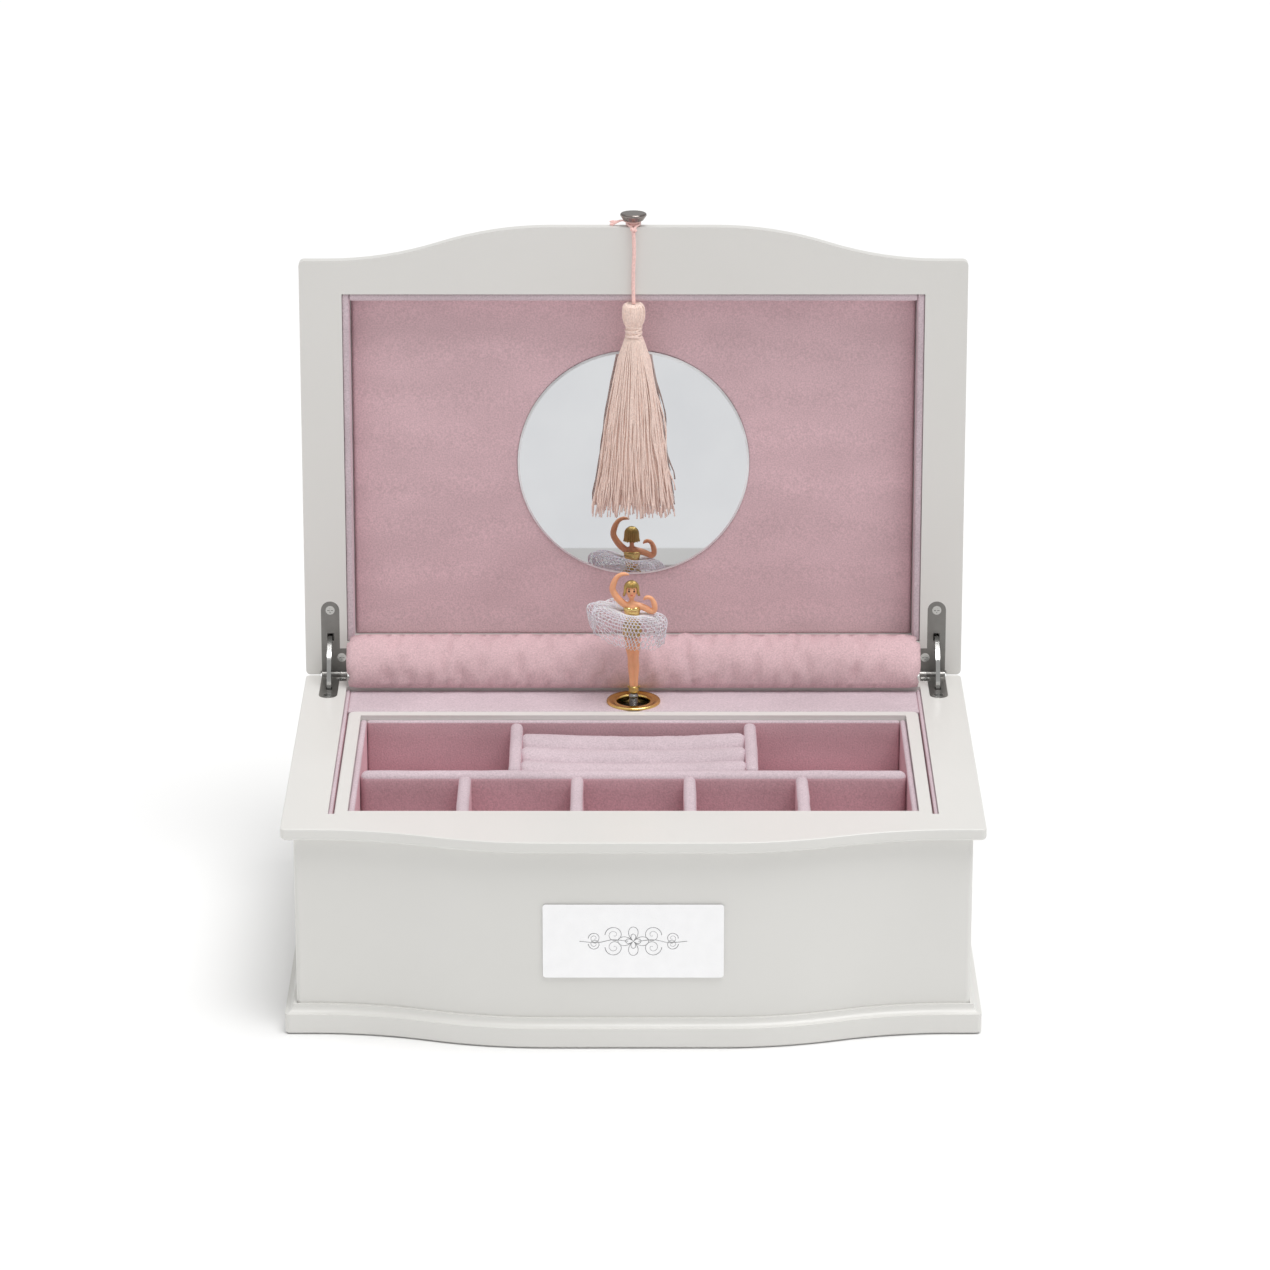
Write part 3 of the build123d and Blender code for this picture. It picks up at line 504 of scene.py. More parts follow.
def solids_of(node):
    """Corners of each separate solid of a CAD node, in millimetres."""
    shape = bmesh.new()
    shape.from_mesh(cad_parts[node].data)
    bmesh.ops.remove_doubles(shape, verts=shape.verts, dist=1e-6)
    left, found = set(shape.verts), []
    while left:
        island, edge = set(), [left.pop()]
        while edge:
            v = edge.pop()
            island.add(v)
            near = {e.other_vert(v) for e in v.link_edges} & left
            left -= near
            edge += near
        points = [v.co / MM for v in island]
        found.append((Vector(min(p[i] for p in points) for i in range(3)),
                      Vector(max(p[i] for p in points) for i in range(3))))
    shape.free()
    return sorted(found, key=lambda pair: tuple(pair[0]))


def dividers():
    for node, radius in (("long_divider", 3.0), ("back_row_dividers", 2.2), ("front_row_dividers", 2.2)):
        build = Build()
        for low, high in solids_of(node):
            soft_box(build, low, high, radius, 0.22)
        obj = placed(build.piece(node + "_velvet", ROSE, PALE), "tray", "pale_velvet", node)
        painted_lit_tops(obj)


# ---- panels with a round hole ---------------------------------------------------------------
def pierced_panel(low, high, centre, hole, edge, lip, place=lambda p: p, swell=0.12):
    """A cloth covered board whose edges roll over, with a round hole. It faces up, or down if high is low."""
    x0, y0, face = low[0], low[1], high[2]
    x1, y1, back = high[0], high[1], low[2]
    out = 1 if face > back else -1
    ring = [math.atan2(y - centre[1], x - centre[0]) for x in (x0, x1) for y in (y0, y1)]
    angles = sorted({round(a, 6) for a in ring + [2 * math.pi * k / 240 - math.pi for k in range(240)]})
    steps = [0, 0.15, 0.4, 0.75, 1.2, 2.0]
    rows = []
    for angle in angles:
        dx, dy = math.cos(angle), math.sin(angle)
        reach = min(((x1 if dx > 0 else x0) - centre[0]) / dx if abs(dx) > 1e-9 else 1e9,
                    ((y1 if dy > 0 else y0) - centre[1]) / dy if abs(dy) > 1e-9 else 1e9)
        spots = [hole + s * lip for s in steps]
        spots += [mix(spots[-1], reach - 2.0 * edge, k / 14) for k in range(1, 14)]
        spots += [reach - s * edge for s in steps[::-1]]
        row = [(hole, back)]
        for spot in spots:
            x, y = centre[0] + dx * spot, centre[1] + dy * spot
            border = min(x - x0, x1 - x, y - y0, y1 - y)
            fall = max(1 - border / edge, 0) ** 2 * edge * 0.8
            fall += max(1 - (spot - hole) / lip, 0) ** 2 * lip * 0.8
            bulge = swell * (rough_value((x, y, 0), 22) - 0.4) * ease(border / 8)
            row.append((spot, face - out * (min(fall, abs(face - back) - 0.1) - bulge)))
        row.append((reach, back))
        rows.append([place((centre[0] + dx * s, centre[1] + dy * s, z)) for s, z in row])
    build = Build()
    build.grid(rows, close_rows=True)
    return build


def shelf():
    low, high = corners("motor_shelf")
    build = pierced_panel(low, high, (0, SPINDLE_Y), 7.45, 0.9, 0.5)
    placed(build.piece("shelf_velvet", PALE), "box", "pale_velvet", "motor_shelf")


def lid_lining():
    low, high = closed_corners("lid_lining_board")
    glass_low, glass_high = closed_corners("lid_mirror")
    middle = (glass_low + glass_high) / 2
    radius = (glass_high.x - glass_low.x) / 2
    inset = LID_LINER + 0.15
    face_low = (low.x + inset, low.y + inset, high.z)
    face_high = (high.x - inset, high.y, low.z)
    panel = pierced_panel(face_low, face_high, middle, radius - 0.4, 1.3, 0.8, opened, 0.2)
    placed(panel.piece("lid_lining_velvet", LID_ROSE), "lid", "rose_velvet", "lid_lining_board")
    liner = Build()
    low, high = closed_corners("lid_wall_liners")
    for box_low, box_high in walls_round(low, high, LID_LINER, "lrf"):
        soft_box(liner, box_low, box_high, 0.9, 0.12)
    liner.points = [opened(p) for p in liner.points]
    placed(liner.piece("lid_liner_velvet", PALE), "lid", "pale_velvet", "lid_wall_liners")
    glass = Build()
    face, back = glass_low.z, glass_high.z
    profile = [(0.05, back), (radius, back), (radius, face + 0.5), (radius - 0.9, face), (0.05, face)]
    glass.lathe([(r, z) for r, z in profile], (middle.x, middle.y, 0), 240, closed=False)
    glass.points = [opened(p) for p in glass.points]
    mirror = glass.piece("bevelled_mirror", MIRROR, MIRROR_EDGE, smooth=False)
    centre = opened(middle) * MM
    for face in mirror.data.polygons:
        face.material_index = int((face.center - centre).length > (radius - 0.95) * MM)
    placed(mirror, "lid", "mirror_glass", "lid_mirror")


# ---- stuffed pieces, by cloth simulation ----------------------------------------------------
SIM_SCALE = 20.0            # small pieces are simulated larger, where the solver is steady


def inflate(obj, held, pressure, cap, frames=18, slack=0.06):
    """Pumps up a closed form. held(point in mm) is 1 where sewn down, 0 where free."""
    mesh = obj.data
    start = np.array([v.co for v in mesh.vertices])
    mesh.vertices.foreach_set("co", (start * SIM_SCALE).ravel())
    group = obj.vertex_groups.new(name="held")
    for i, point in enumerate(start):
        weight = held(Vector(point) / MM)
        if weight > 0:
            group.add([i], weight, "REPLACE")
    cloth = obj.modifiers.new("Cloth", "CLOTH")
    cloth.settings.quality = 6
    cloth.settings.mass = 0.25
    cloth.settings.tension_stiffness = 25
    cloth.settings.compression_stiffness = 12
    cloth.settings.bending_stiffness = 0.08
    cloth.settings.use_pressure = True
    cloth.settings.uniform_pressure_force = pressure
    cloth.settings.shrink_min = -slack
    cloth.settings.vertex_group_mass = "held"
    cloth.settings.effector_weights.gravity = 0
    cloth.collision_settings.use_collision = False
    cloth.point_cache.frame_end = frames
    for number in range(1, frames + 1):
        bpy.context.scene.frame_set(number)
    evaluated = obj.evaluated_get(bpy.context.evaluated_depsgraph_get())
    moved = np.array([v.co for v in evaluated.data.vertices]) / SIM_SCALE
    obj.modifiers.clear()
    bpy.context.scene.frame_set(1)
    shift = moved - start
    length = np.linalg.norm(shift, axis=1, keepdims=True)
    shift *= np.minimum(1.0, cap * MM / np.maximum(length, 1e-12))
    obj.data.vertices.foreach_set("co", (start + np.nan_to_num(shift)).ravel())
    obj.data.update()
    return obj


def ring_rolls():
    """Three stuffed rolls with a slit between each two, held along their feet."""
    for number, (low, high) in enumerate(solids_of("ring_rolls")):
        radius = (high.y - low.y) / 2 - 0.45
        middle, crown = (low.y + high.y) / 2, high.z - 0.45
        build, rows, count = Build(), [], 64
        for i in range(count + 1):
            x = mix(low.x + 0.3, high.x - 0.3, i / count)
            end = min(x - low.x, high.x - x)
            pinch = 1 - 0.22 * max(1 - end / 2.2, 0) ** 2
            ring = []
            for k in range(28):
                turn = 2 * math.pi * k / 28
                y, z = math.sin(turn), math.cos(turn)
                drop = -(high.z - low.z - 2 * radius) * 0.9 if z < -0.5 else 0.0
                pucker = 0.12 * math.sin(x * 1.9 + number) * max(1 - end / 5, 0)
                ring.append((x, middle + y * radius * pinch + pucker,
                             crown - radius + z * radius * pinch + drop))
            rows.append(ring)
        build.grid(rows)
        obj = build.piece(f"ring_roll_{number + 1}", PALE)
        inflate(obj, lambda p: 1.0 if p.z < crown - 1.45 * radius else 0.0, 2.0, 0.9)
        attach(obj, "tray")
        stands_for(obj, "pale_velvet", *(["ring_rolls"] if number == 0 else []))


def cover_roll():
    """The plump strip that bridges shelf and lid lining."""
    low, high = corners("hinge_cover_roll")
    back_y, back_z = high.y - 0.3, low.z + 0.1
    reach = high.z - low.z - 0.1
    build, rows, count = Build(), [], 120
    for i in range(count + 1):
        x = mix(low.x + 0.4, high.x - 0.4, i / count)
        end = min(x - low.x, high.x - x)
        gather = max(1 - end / 6, 0) ** 2
        ring = []
        for k in range(13):
            turn = math.radians(mix(180, 90, k / 12))
            swell = 1 + 0.03 * math.sin(2 * (turn - math.pi / 2)) - 0.10 * gather
            fold = 0.35 * rough_value((x, k * 1.4, 0), 7.0, 3.1) * math.sin(math.pi * k / 12)
            fold += 0.5 * gather * math.sin(k * 1.7)
            radius = (reach - 0.5 * math.sin(math.pi * k / 12)) * swell + fold
            ring.append((x, back_y + math.cos(turn) * radius, back_z + math.sin(turn) * radius))
        ring += [(x, back_y, mix(ring[-1][2], back_z, k / 5)) for k in range(1, 5)]
        ring += [(x, mix(back_y, ring[0][1], k / 5), back_z) for k in range(5)]
        rows.append(ring)
    build.grid(rows)
    obj = build.piece("hinge_cover_roll_velvet", ROLL)

    def sewn(p):
        near_back = p.y > back_y - 0.5 or p.z < back_z + 0.5
        return 1.0 if near_back else 0.0

    inflate(obj, sewn, 1.6, 1.6, slack=0.10)
    stands_for(obj, "pale_velvet", "hinge_cover_roll")
    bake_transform(obj)


# ---- tassel ---------------------------------------------------------------------------------
CORD_R = 0.8
KNOT_R = 0.95
CORD_ROUTE = [(0, 0, 0), (0.5, -0.2, -7.5), (-0.2, 0.1, -18), (0.1, 0, -30.2)]
SKIRT_SHAPE = [(0, 3.1, 2.9), (0.13, 6.4, 4.2), (0.35, 9.8, 4.9), (0.7, 13.6, 4.8), (1.0, 16.9, 4.4)]


def skirt_size(t):
    for (t0, w0, d0), (t1, w1, d1) in zip(SKIRT_SHAPE, SKIRT_SHAPE[1:]):
        if t <= t1:
            share = (t - t0) / (t1 - t0)
            return mix(w0, w1, share), mix(d0, d1, share)
    return SKIRT_SHAPE[-1][1:]


def tassel_cord(head):
    low, high = corners("tassel_knot")
    middle = (low + high) / 2
    start = Vector((middle.x, middle.y, middle.z - KNOT_R))
    curve = bpy.data.curves.new("tassel_cord_silk", "CURVE")
    curve.dimensions = "3D"
    curve.bevel_depth = CORD_R * MM
    curve.bevel_resolution = 4
    curve.resolution_u = 16
    spline = curve.splines.new("NURBS")
    spline.points.add(len(CORD_ROUTE) - 1)
    for point, offset in zip(spline.points, CORD_ROUTE):
        point.co = (*((start + Vector(offset)) * MM), 1)
    spline.order_u = 3
    spline.use_endpoint_u = True
    spline.resolution_u = 16
    curve.materials.append(CORD_SILK)
    obj = bpy.data.objects.new("tassel_cord_silk", curve)
    bpy.context.scene.collection.objects.link(obj)
    placed(obj, "tassel", "silk", "tassel_cord")


def tassel_head():
    """Threads folded over the cord's end, and a cord bound round them."""
    low, high = corners("tassel_head")
    axis = (low + high) / 2
    tall = high.z - low.z
    profile = [(0.02, 1.4), (0.0, 3.0), (0.06, 3.95), (0.16, 4.35), (0.32, 4.45), (0.48, 4.2), (0.62, 3.4),
               (0.72, 2.9), (1.0, 2.9)]
    build = Build()
    build.grid([[(axis.x + r * math.cos(a), axis.y + r * math.sin(a), high.z - share * tall)
                 for a in (2 * math.pi * k / 48 for k in range(48))] for share, r in profile])
    for number in range(66):
        turn = 2 * math.pi * number / 66
        wave, lean = random.uniform(0, 6.28), random.uniform(-0.12, 0.12)
        out = random.uniform(-0.15, 0.2)
        line = [(axis.x + (r + out) * math.cos(turn + lean * math.sin(wave + 7 * share)),
                 axis.y + (r + out) * math.sin(turn + lean * math.sin(wave + 7 * share)),
                 high.z - share * tall) for share, r in profile[1:]]
        line = smooth_line(line, 4)
        build.tube(line, [0.26 + 0.06 * math.sin(k * 1.7 + wave) for k in range(len(line))], 6)
    for number in range(5):
        z = high.z - tall * (0.68 + 0.07 * number)
        slant = 0.75 if number % 2 else -0.55
        loop = [(axis.x + 3.2 * math.cos(a), axis.y + 3.2 * math.sin(a), z + slant * math.cos(a - 0.6))
                for a in (2 * math.pi * k / 40 for k in range(41))]
        build.tube(loop, [0.52] * 41, 8)
    return placed(build.piece("tassel_head_silk", SILK), "tassel", "silk", "tassel_head")


def tassel_skirt():
    """Loose twisted strands that hang from the binding and fan out."""
    low, high = corners("tassel_skirt")
    axis = (low + high) / 2
    length = high.z - low.z
    build = Build()
    core = []
    for t in (0.0, 0.15, 0.3, 0.5, 0.7, 0.84):
        half_w, half_d = skirt_size(t)
        core.append([(axis.x + 0.8 * half_w * math.cos(a), axis.y + 0.8 * half_d * math.sin(a),
                      high.z + 0.5 - t * length) for a in (2 * math.pi * k / 40 for k in range(40))])
    build.grid(core)
    for number in range(330):
        turn = number * 2.39996
        share = math.sqrt(random.uniform(0.12, 1.0)) if number % 3 else 1.0
        reach = length * (random.uniform(0.90, 0.995) if number % 7 else random.uniform(0.75, 0.9))
        stray = number % 19 == 0
        sway, wave = random.uniform(-0.9, 0.9) * (3 if stray else 1), random.uniform(0, 6.28)
        kink = random.uniform(0.3, 0.8) + (0.9 if stray else 0)
        line = []
        for k in range(22):
            t = k / 21
            half_w, half_d = skirt_size(t * reach / length)
            x = axis.x + math.cos(turn) * share * half_w + sway * t + kink * t * math.sin(wave + t * 13)
            y = axis.y + math.sin(turn) * share * half_d + 0.5 * kink * t * math.cos(wave + t * 11)
            line.append((min(max(x, low.x), high.x), min(max(y, low.y - 0.5), high.y + 0.5),
                         high.z + 1.0 - t * (reach + 1.0)))
        thick = random.uniform(0.24, 0.34)
        build.tube(line, [thick * (1 + 0.22 * math.sin(k * 2.1 + wave)) for k in range(22)], 5)
    obj = placed(build.piece("tassel_skirt_silk", SILK), "tassel", "silk", "tassel_skirt")
    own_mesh(obj)


def tassel_tie():
    """Loop round the knob's neck, its two legs to the knot, and a short frayed tail."""
    loop_low, loop_high = corners("tassel_loop")
    neck = (loop_low + loop_high) / 2
    knot_low, knot_high = corners("tassel_knot")
    knot = (knot_low + knot_high) / 2
    loop = Build()
    turns = [2 * math.pi * k / 60 for k in range(61)]
    up = (opened((0, 0, 1)) - opened((0, 0, 0))).normalized()
    out = (opened((0, 1, 0)) - opened((0, 0, 0))).normalized()
    for lift in (-0.45, 0.45):
        line = [neck + Vector((2.75 * math.cos(a), 0, 0)) + up * 2.75 * math.sin(a) + out * lift
                for a in turns]
        loop.tube(line, [0.5] * 61, 8)
    for number in range(7):
        spread = (number - 3) * 0.32
        line = smooth_line([
            neck + Vector((-2.0, 0, 0)) - up * 1.6,
            neck + Vector((-4.4, 0, 0.7 + 0.1 * spread)) - up * 0.6 - out * 0.4,
            neck + Vector((-7.0, 0, 0.1 + 0.35 * spread)) + up * (0.4 * spread) - out * 0.2,
            neck + Vector((-9.4 + 0.5 * math.cos(number * 2), 0, -0.2 + spread)) + up * (0.8 * spread),
        ], 6)
        loop.tube(line, [0.24] * len(line), 5)
    placed(loop.piece("tassel_loop_silk", CORD_SILK), "lid", "silk", "tassel_loop")
    legs = Build()
    for side in (-1, 1):
        line = smooth_line([
            neck + Vector((side * 2.4, 0, 0)) - up * 1.4,
            neck + Vector((side * 1.9, -3.1, -0.2)),
            knot + Vector((side * 0.8, 1.2, 0.9)),
            knot + Vector((side * 0.2, 0, 0)),
        ], 8)
        legs.tube(line, [0.5] * len(line), 8)
    obj = stands_for(legs.piece("tassel_legs_silk", CORD_SILK), "silk")
    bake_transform(obj)
    tie = Build()
    line = []
    for k in range(73):
        a = 2 * math.pi * k / 72
        line.append(knot + Vector((math.sin(a) + 2 * math.sin(2 * a), math.cos(a) - 2 * math.cos(2 * a),
                                   -math.sin(3 * a) * 1.3)) * 0.38)
    tie.tube(line, [0.45] * 73, 8)
    tie.ball(knot, (0.8, 0.8, 0.9))
    placed(tie.piece("tassel_knot_silk", CORD_SILK), "knot", "silk", "tassel_knot")


# ---- dancer ---------------------------------------------------------------------------------
FIGURE_X = -0.6             # middle of the chest


def dancer_point(x, y, z):
    return (x, SPINDLE_Y + y, z)


def dancer_limb(build, stations, flat=1.0):
    """stations are (x, y, z, radius) along a limb."""
    line = smooth_line([s[:3] for s in stations], 6)
    radii = [r[0] for r in smooth_line([(s[3], 0, 0) for s in stations], 6)]
    build.tube([dancer_point(*p) for p in line], radii, 14, flat)
    for x, y, z, radius in (stations[0], stations[-1]):
        build.ball(dancer_point(x, y, z), (radius, radius * flat, radius))


def dancer_body():
    build = Build()
    for side in (-1, 1):
        dancer_limb(build, [(FIGURE_X + side * 1.75, 0, 116.5, 2.0), (-0.35 + side * 1.45, -0.15, 110.5, 1.8),
                            (-0.1 + side * 1.12, -0.2, 104.5, 1.28), (0.05 + side * 1.1, 0.15, 100.5, 1.36),
                            (0.12 + side * 0.95, 0, 95.0, 0.98), (0.15 + side * 0.9, 0, 91.0, 0.85)])
    build.ball(dancer_point(FIGURE_X, 0.2, 117.6), (3.6, 2.6, 3.6))
    build.ball(dancer_point(FIGURE_X, 0, 121.6), (2.5, 1.9, 3.4))
    build.ball(dancer_point(FIGURE_X + 0.05, 0, 125.3), (3.3, 2.1, 3.1))
    dancer_limb(build, [(-3.0, 0, 127.5, 1.1), (-0.5, 0.1, 127.9, 1.35), (2.2, 0, 127.4, 1.1)])
    dancer_limb(build, [(-0.6, 0.1, 127.8, 1.35), (-0.7, 0, 129.6, 1.0), (-0.75, 0, 131.8, 1.05)])
    dancer_limb(build, [(-3.0, 0, 127.2, 1.45), (-5.6, -0.2, 129.4, 1.5), (-7.7, -0.3, 132.2, 1.4),
                        (-8.6, -0.4, 134.6, 1.35), (-8.0, -0.6, 137.4, 1.3), (-6.7, -0.8, 139.8, 1.02),
                        (-5.0, -0.9, 141.0, 0.85), (-3.4, -0.9, 141.2, 0.75), (-2.0, -0.9, 140.9, 0.4)])
    dancer_limb(build, [(2.0, 0, 127.2, 1.4), (4.8, -0.3, 126.2, 1.4), (7.6, -0.8, 124.9, 1.25),
                        (8.8, -1.0, 125.8, 1.15), (8.6, -1.1, 128.2, 1.2), (7.6, -1.2, 130.4, 0.95),
                        (6.2, -1.2, 131.2, 0.85), (5.0, -1.2, 130.9, 0.8), (4.3, -1.2, 130.2, 0.4)])
    build.ball(dancer_point(-0.75, -0.1, 134.1), (2.5, 2.5, 3.0))
    build.ball(dancer_point(-0.75, -0.7, 132.2), (1.75, 1.7, 1.9))
    build.ball(dancer_point(-0.75, -2.4, 133.5), (0.3, 0.5, 0.55), 8, 10)
    obj = build.piece("ballerina_figure", SKIN)
    remesh = obj.modifiers.new("Remesh", "REMESH")
    remesh.mode = "VOXEL"
    remesh.voxel_size = 0.24 * MM
    remesh.use_smooth_shade = True
    relax = obj.modifiers.new("Smooth", "SMOOTH")
    relax.factor, relax.iterations = 0.5, 4
    placed(baked(obj), "figure", "skin_plastic", "ballerina_body")
    face = Build()
    for side in (-1, 1):
        face.ball(dancer_point(-0.75 + side * 0.98, -2.26, 134.1), (0.50, 0.30, 0.50), 8, 12)
        brow = [dancer_point(-0.75 + side * x, -2.28 + 0.18 * (x - 0.5), 134.85 + 0.12 * math.sin(x * 2.4))
                for x in (0.5, 0.8, 1.1, 1.4)]
        face.tube(brow, [0.09, 0.13, 0.13, 0.08], 6)
    placed(face.piece("ballerina_eyes", DARK_PAINT), "figure", "skin_plastic")
    lips = Build()
    lips.ball(dancer_point(-0.75, -2.36, 132.2), (0.62, 0.24, 0.24), 8, 12)
    placed(lips.piece("ballerina_lips", LIP_PAINT), "figure", "skin_plastic")


def dancer_hair():
    """A short bob: a ridged shell from the crown, short over the brow and long at the sides."""
    build, rows = Build(), []
    sides, rings = 168, 16
    top, middle = 138.0, 134.6
    for shell in (0, 1):
        order = range(rings + 1) if shell == 0 else range(rings, -1, -1)
        for i in order:
            ring = []
            for k in range(sides):
                turn = 2 * math.pi * k / sides
                front = -math.sin(turn)
                brow = ease((front - 0.42) / 0.3)
                lowest = mix(131.6, 135.6, brow) + 0.18 * math.sin(turn * 14)
                t = max(i / rings, 0.03)
                z = mix(top, lowest, t ** 1.6)
                height = max(0.0, min(1.0, (z - middle) / (top - middle)))
                width = math.sqrt(max(1 - height ** 2, 0.004))
                flick = 0.4 * max((middle - z) / 3.0, 0) ** 2
                ridge = 0.2 * math.sin(turn * 22 + z * 0.5) * min(t * 2, 1)
                inner = 0.45 if shell else 0.0
                rx = (3.05 + flick) * width + (ridge if not shell else 0) - inner
                ry = (3.0 + 0.6 * flick) * width + (ridge if not shell else 0) - inner
                ring.append(dancer_point(-0.78 + max(rx, 0.05) * math.cos(turn),
                                         0.25 + max(ry, 0.05) * math.sin(turn), z - inner * 0.6 * height))
            rows.append(ring)
    build.grid(rows)
    placed(build.piece("ballerina_hair_gold", GOLD_PAINT), "figure", "gold_paint", "ballerina_hair")


def dancer_costume():
    build, rows = Build(), []
    sides = 96
    stations = [(120.4, 2.9, 2.3), (121.6, 2.7, 2.1), (123.2, 2.95, 2.2), (124.8, 3.4, 2.35),
                (126.0, 3.62, 2.45), (127.0, 3.66, 2.4)]
    for inner in (0.0, 0.35):
        for z, rx, ry in (stations if not inner else stations[::-1]):
            ring = []
            for k in range(sides):
                turn = 2 * math.pi * k / sides
                x, y = (rx - inner) * math.cos(turn), (ry - inner) * math.sin(turn)
                for side in (-1, 1):
                    bust = math.exp(-((x - side * 1.55) / 1.0) ** 2 - ((z - 125.6) / 1.2) ** 2)
                    y -= 0.65 * bust * (1 if y < 0 else 0)
                dip = 0.55 * math.exp(-(x / 0.8) ** 2) * ease((z - 125) / 2) if y < 0 else 0
                ring.append(dancer_point(FIGURE_X + 0.05 + x, y, z - dip))
            rows.append(ring)
    build.grid(rows, close_rows=True)
    bodice = build.piece("ballerina_bodice", GOLD_FOIL)
    placed(bodice, "figure", "gold_paint", "ballerina_costume")
    # The leotard, below the tutu, takes the darker gold paint and not the bodice's foil: partly its own
    # duller gold, partly painted shade under the tutu.
    leotard = Build()
    leotard.lathe([(3.2, 113.6), (4.05, 114.2), (4.1, 116.4), (3.75, 118.6), (2.85, 120.6), (2.6, 120.6)],
                  (0, 0, 0), 64)
    leotard.points = [Vector(dancer_point(FIGURE_X + p.x, p.y * 0.72, p.z)) for p in leotard.points]
    placed(leotard.piece("ballerina_leotard", GOLD_PAINT), "figure", "gold_paint")
    shoes, rows = Build(), []
    for z, rx, ry in [(88.8, 1.5, 1.2), (88.95, 1.9, 1.6), (89.7, 2.05, 1.75), (90.6, 1.95, 1.55),
                      (91.3, 2.0, 1.5), (91.6, 2.15, 1.55)]:
        rows.append([dancer_point(0.1 + rx * math.cos(a) * (1 + 0.04 * math.cos(2 * a)),
                                  ry * math.sin(a) * (1 - 0.12 * math.cos(2 * a)),
                                  z + (0.45 * abs(math.cos(a)) ** 3 if z > 91 else 0))
                     for a in (2 * math.pi * k / 48 for k in range(48))])
    shoes.grid(rows)
    for side in (-1, 1):
        shoes.tube([dancer_point(0.1 + side * 1.7, 0, 91.3), dancer_point(0.1 + side * 2.3, 0, 91.8),
                    dancer_point(0.1 + side * 2.75, 0, 92.0)], [0.5, 0.34, 0.1], 8)
    placed(shoes.piece("ballerina_shoes", GOLD_PAINT), "figure", "gold_paint")


NET_THREAD = 0.32
NET_ROWS = 11
NET_CELLS = 44


def tutu_point(around, v, layer):
    """A point of the gathered net: around goes once round the waist, v from waist to hem."""
    turn = around + 0.15 * math.cos(around) - 0.15 * math.sin(2 * around)
    left = 0.5 - 0.5 * math.cos(turn)
    front = max(-math.sin(turn), 0) ** 1.5
    back = max(math.sin(turn), 0)
    fold = math.sin(7 * turn + 2.1 * layer + 0.8 * math.sin(2 * turn))
    loose = 1 - 0.8 * front
    turn += 0.13 * math.cos(7 * turn + 2.1 * layer) * v * loose
    reach = mix(mix(11.6, 14.6, left), 3.4, front) - 2.2 * back - 0.9 * layer + 1.0 * fold * loose
    lift = mix(mix(1.2, 5.6, left), 0.3, front)
    fall = mix(mix(12.5, 11.5, left), 12.4, front) + 1.3 * layer
    out = 3.7 + reach * math.sin(min(v * 1.25, 1.0) * math.pi / 2) - 1.2 * v ** 4 * loose
    up = lift * math.sin(min(v * 1.3, 1.0) * math.pi / 2) - fall * v ** 2.2
    z = 124.4 - 1.2 * (1 - left) + up + 1.1 * fold * v * loose
    return dancer_point(-1.2 + out * math.cos(turn), out * math.sin(turn) * mix(1.0, 0.86, front), z)


def tutu():
    """Hexagonal net, gathered at the waist in two layers."""
    build = Build()
    for layer in range(2):
        found = {}

        def corner(i, j):
            # brick-wise points that make hexagons
            key = (i % (2 * NET_CELLS), j)
            if key not in found:
                offset = 0.33 if (i + j) % 2 else 0.0
                turn = 2 * math.pi * (key[0] + 0.5 * layer) / (2 * NET_CELLS)
                found[key] = len(build.points)
                build.points.append(Vector(tutu_point(turn, (j + offset) / NET_ROWS, layer)))
            return found[key]

        for j in range(NET_ROWS):
            for i in range(2 * NET_CELLS):
                if (i + j) % 2:
                    build.faces.append([corner(i, j), corner(i + 1, j), corner(i + 2, j),
                                        corner(i + 2, j + 1), corner(i + 1, j + 1), corner(i, j + 1)])
    obj = build.piece("ballerina_tutu_net", NET)
    wire = obj.modifiers.new("Net", "WIREFRAME")
    wire.thickness = NET_THREAD * MM
    wire.use_even_offset = False
    wire.use_boundary = True
    baked(obj)
    placed(obj, "figure", "white_net", "ballerina_tutu")
    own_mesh(obj)
    return obj


# ---- ring, spring, plate --------------------------------------------------------------------
def ring_and_spring():
    low, high = corners("escutcheon_ring")
    outer = (high.x - low.x) / 2
    z = high.z
    build = Build()
    profile = [(outer, z - 1.0), (outer, z - 0.55), (outer - 0.25, z - 0.15), (outer - 0.8, z),
               (outer - 1.5, z - 0.12), (outer - 2.5, z - 0.5), (outer - 3.2, z - 0.62),
               (outer - 3.8, z - 0.35), (outer - 4.15, z - 0.5), (outer - 4.3, z - 1.1),
               (outer - 4.3, low.z), (7.35, low.z), (7.35, z - 1.0)]
    build.lathe(profile, (0, SPINDLE_Y, 0), 128)
    placed(build.piece("gold_ferrule", GOLD), "box", "gold", "escutcheon_ring")
    low, high = corners("coil_spring")
    coil, line = Build(), []
    turns, neck = 14, high.z - 1.6
    for k in range(turns * 20 + 1):
        a = 2 * math.pi * k / 20
        line.append(dancer_point(1.62 * math.cos(a), 1.62 * math.sin(a),
                                 mix(low.z + 0.3, neck, k / (turns * 20))))
    coil.tube(line, [0.24] * len(line), 8)
    coil.lathe([(0.02, neck - 0.2), (1.75, neck - 0.2), (2.0, neck + 0.1), (2.05, neck + 0.7),
                (1.7, neck + 1.0), (1.4, high.z - 0.1), (1.4, high.z), (0.02, high.z)],
               (0, SPINDLE_Y, 0), 48, closed=False)
    obj = stands_for(coil.piece("figure_spring", SPRING), "spring_steel", "coil_spring")
    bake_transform(obj)


def scroll(build, side, z_side, x, z, start, y):
    """One engraved spiral."""
    line = []
    for k in range(60):
        t = k / 59
        angle = t * 3.6 * math.pi
        radius = start * (1 - t) ** 0.8 + 0.15
        line.append((side * (x + radius * math.cos(angle)), y, z + z_side * radius * math.sin(angle)))
    build.tube(line, [0.16 * (1 - 0.6 * k / 59) for k in range(60)], 6, 0.5)


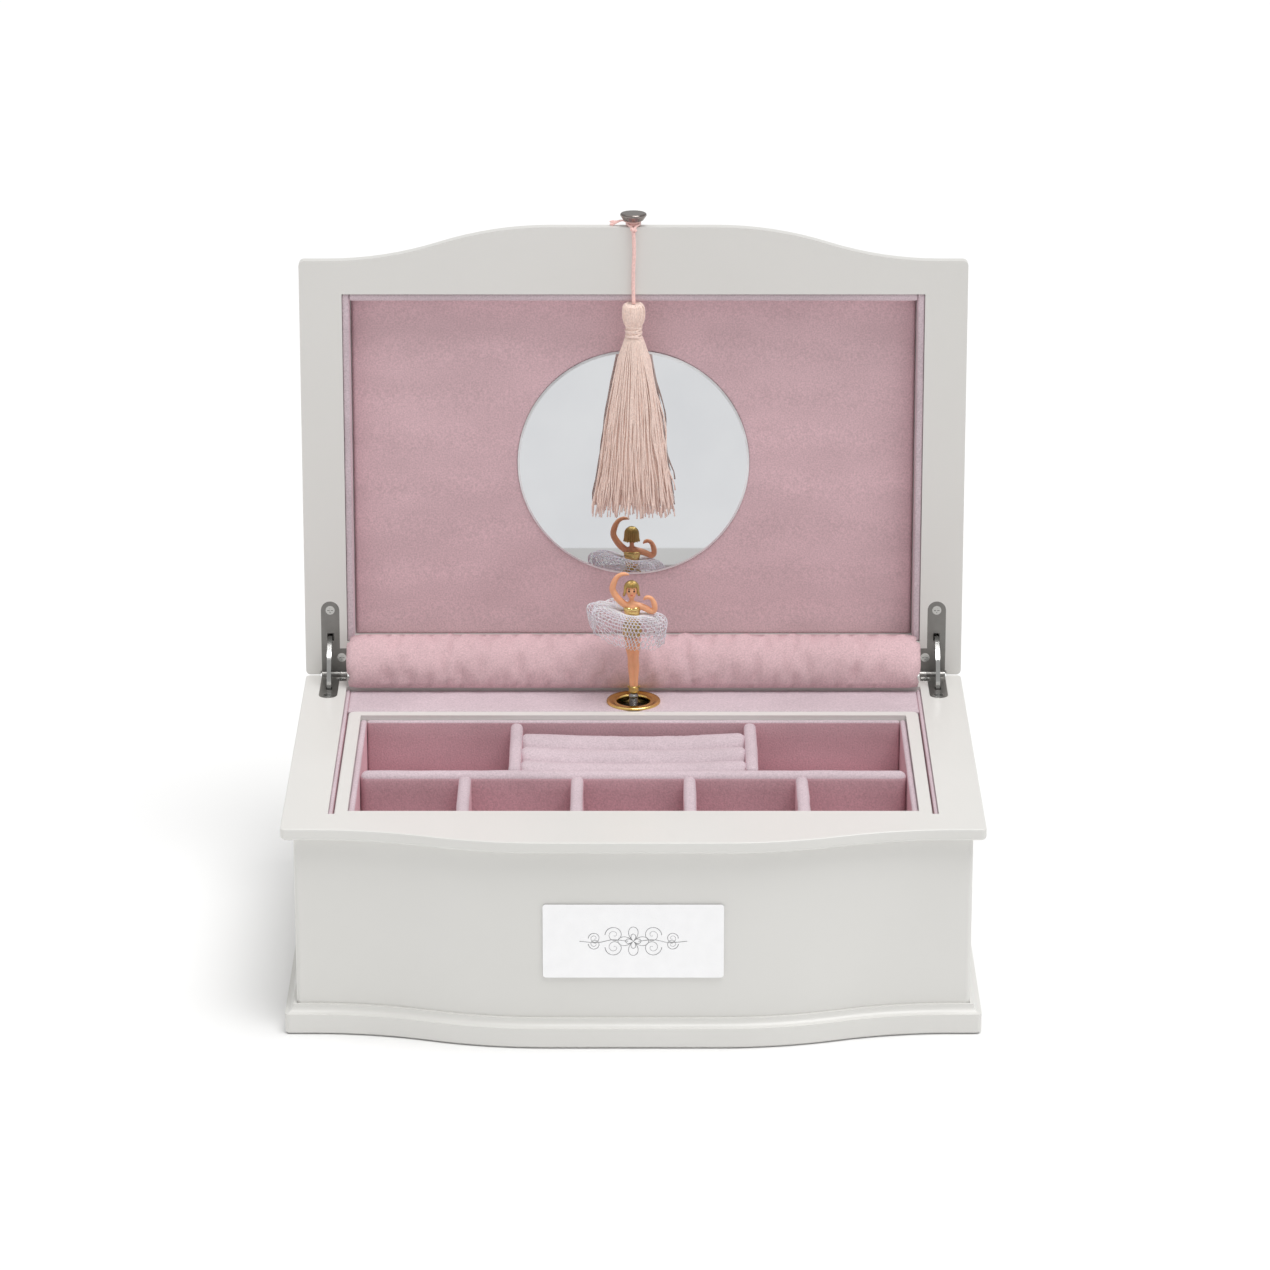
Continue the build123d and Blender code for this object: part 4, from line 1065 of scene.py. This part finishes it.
def plate_ornament():
    """A plain engraved scroll in place of any lettering."""
    low, high = corners("engraved_plate")
    y, z = low.y - 0.02, (low.z + high.z) / 2
    build = Build()
    for side in (-1, 1):
        for z_side in (-1, 1):
            scroll(build, side, z_side, 7.5, z + z_side * 2.6, 3.4, y)
            scroll(build, side, z_side, 15.2, z + z_side * 1.2, 2.2, y)
        stem = smooth_line([(side * 2.0, y, z), (side * 8, y, z + 0.6), (side * 14, y, z - 0.6),
                            (side * 21, y, z)], 8)
        build.tube(stem, [0.15] * len(stem), 6, 0.5)
    petal = [2 * math.pi * k / 80 for k in range(81)]
    for size, count in ((6.0, 4), (3.0, 4)):
        line = [(size * abs(math.cos(count / 2 * a)) ** 0.7 * math.cos(a), y,
                 z + size * abs(math.cos(count / 2 * a)) ** 0.7 * math.sin(a)) for a in petal]
        build.tube(line, [0.14] * 81, 6, 0.5)
    placed(build.piece("plate_ornament", ENGRAVED), "box", "silver_plate")


# ---- studio ---------------------------------------------------------------------------------
LENS, SENSOR = 150.94, 36.0
CAMERA_PLACE = (0.00065, -2.0170, 0.8422)
CAMERA_TILT = 70.69         # degrees up from looking straight down


def sky_light(name, source, power, spread):
    """Even soft light from one side: spread is the lamp's width in the sky, in degrees."""
    light = bpy.data.lights.new(name, "SUN")
    light.energy, light.angle = power, math.radians(spread)
    obj = bpy.data.objects.new(name, light)
    obj.rotation_euler = (-Vector(source)).to_track_quat("-Z", "Y").to_euler()
    bpy.context.scene.collection.objects.link(obj)


def studio():
    scene = bpy.context.scene
    scene.view_settings.view_transform = "Standard"
    world = bpy.data.worlds.new("studio")
    world.use_nodes = True
    background = world.node_tree.nodes["Background"]
    background.inputs["Color"].default_value = (1.0, 0.995, 0.985, 1)
    background.inputs["Strength"].default_value = 0.49
    scene.world = world
    sky_light("softbox", (0.5, -0.38, 1.95), 1.75, 38)
    sky_light("overhead", (-0.15, 0.1, 1.0), 0.45, 60)
    build = Build()
    reach = (-9000, 9000)
    build.grid([[(x, y, -0.3) for x in reach] for y in reach], close_columns=False, caps=False)
    floor_mat = material("studio_floor", (0.93, 0.93, 0.93), 0.7)
    paper = noise_fac(floor_mat, 2, 2)
    set_colour(floor_mat, tones(floor_mat, paper, (0.925, 0.925, 0.925), (0.935, 0.935, 0.935)))
    build.piece("studio_floor", floor_mat)
    camera = bpy.data.cameras.new("camera")
    camera.lens, camera.sensor_width = LENS, SENSOR
    view = bpy.data.objects.new("camera", camera)
    view.location = CAMERA_PLACE
    view.rotation_euler = (math.radians(CAMERA_TILT), 0, 0)
    scene.collection.objects.link(view)
    scene.camera = view


studio()
tassel_cord(tassel_head())
finish_cad_nodes()
linings()
dividers()
shelf()
lid_lining()
ring_rolls()
cover_roll()
tassel_tie()
tassel_skirt()
dancer_body()
dancer_hair()
dancer_costume()
net = tutu()
ring_and_spring()
plate_ornament()
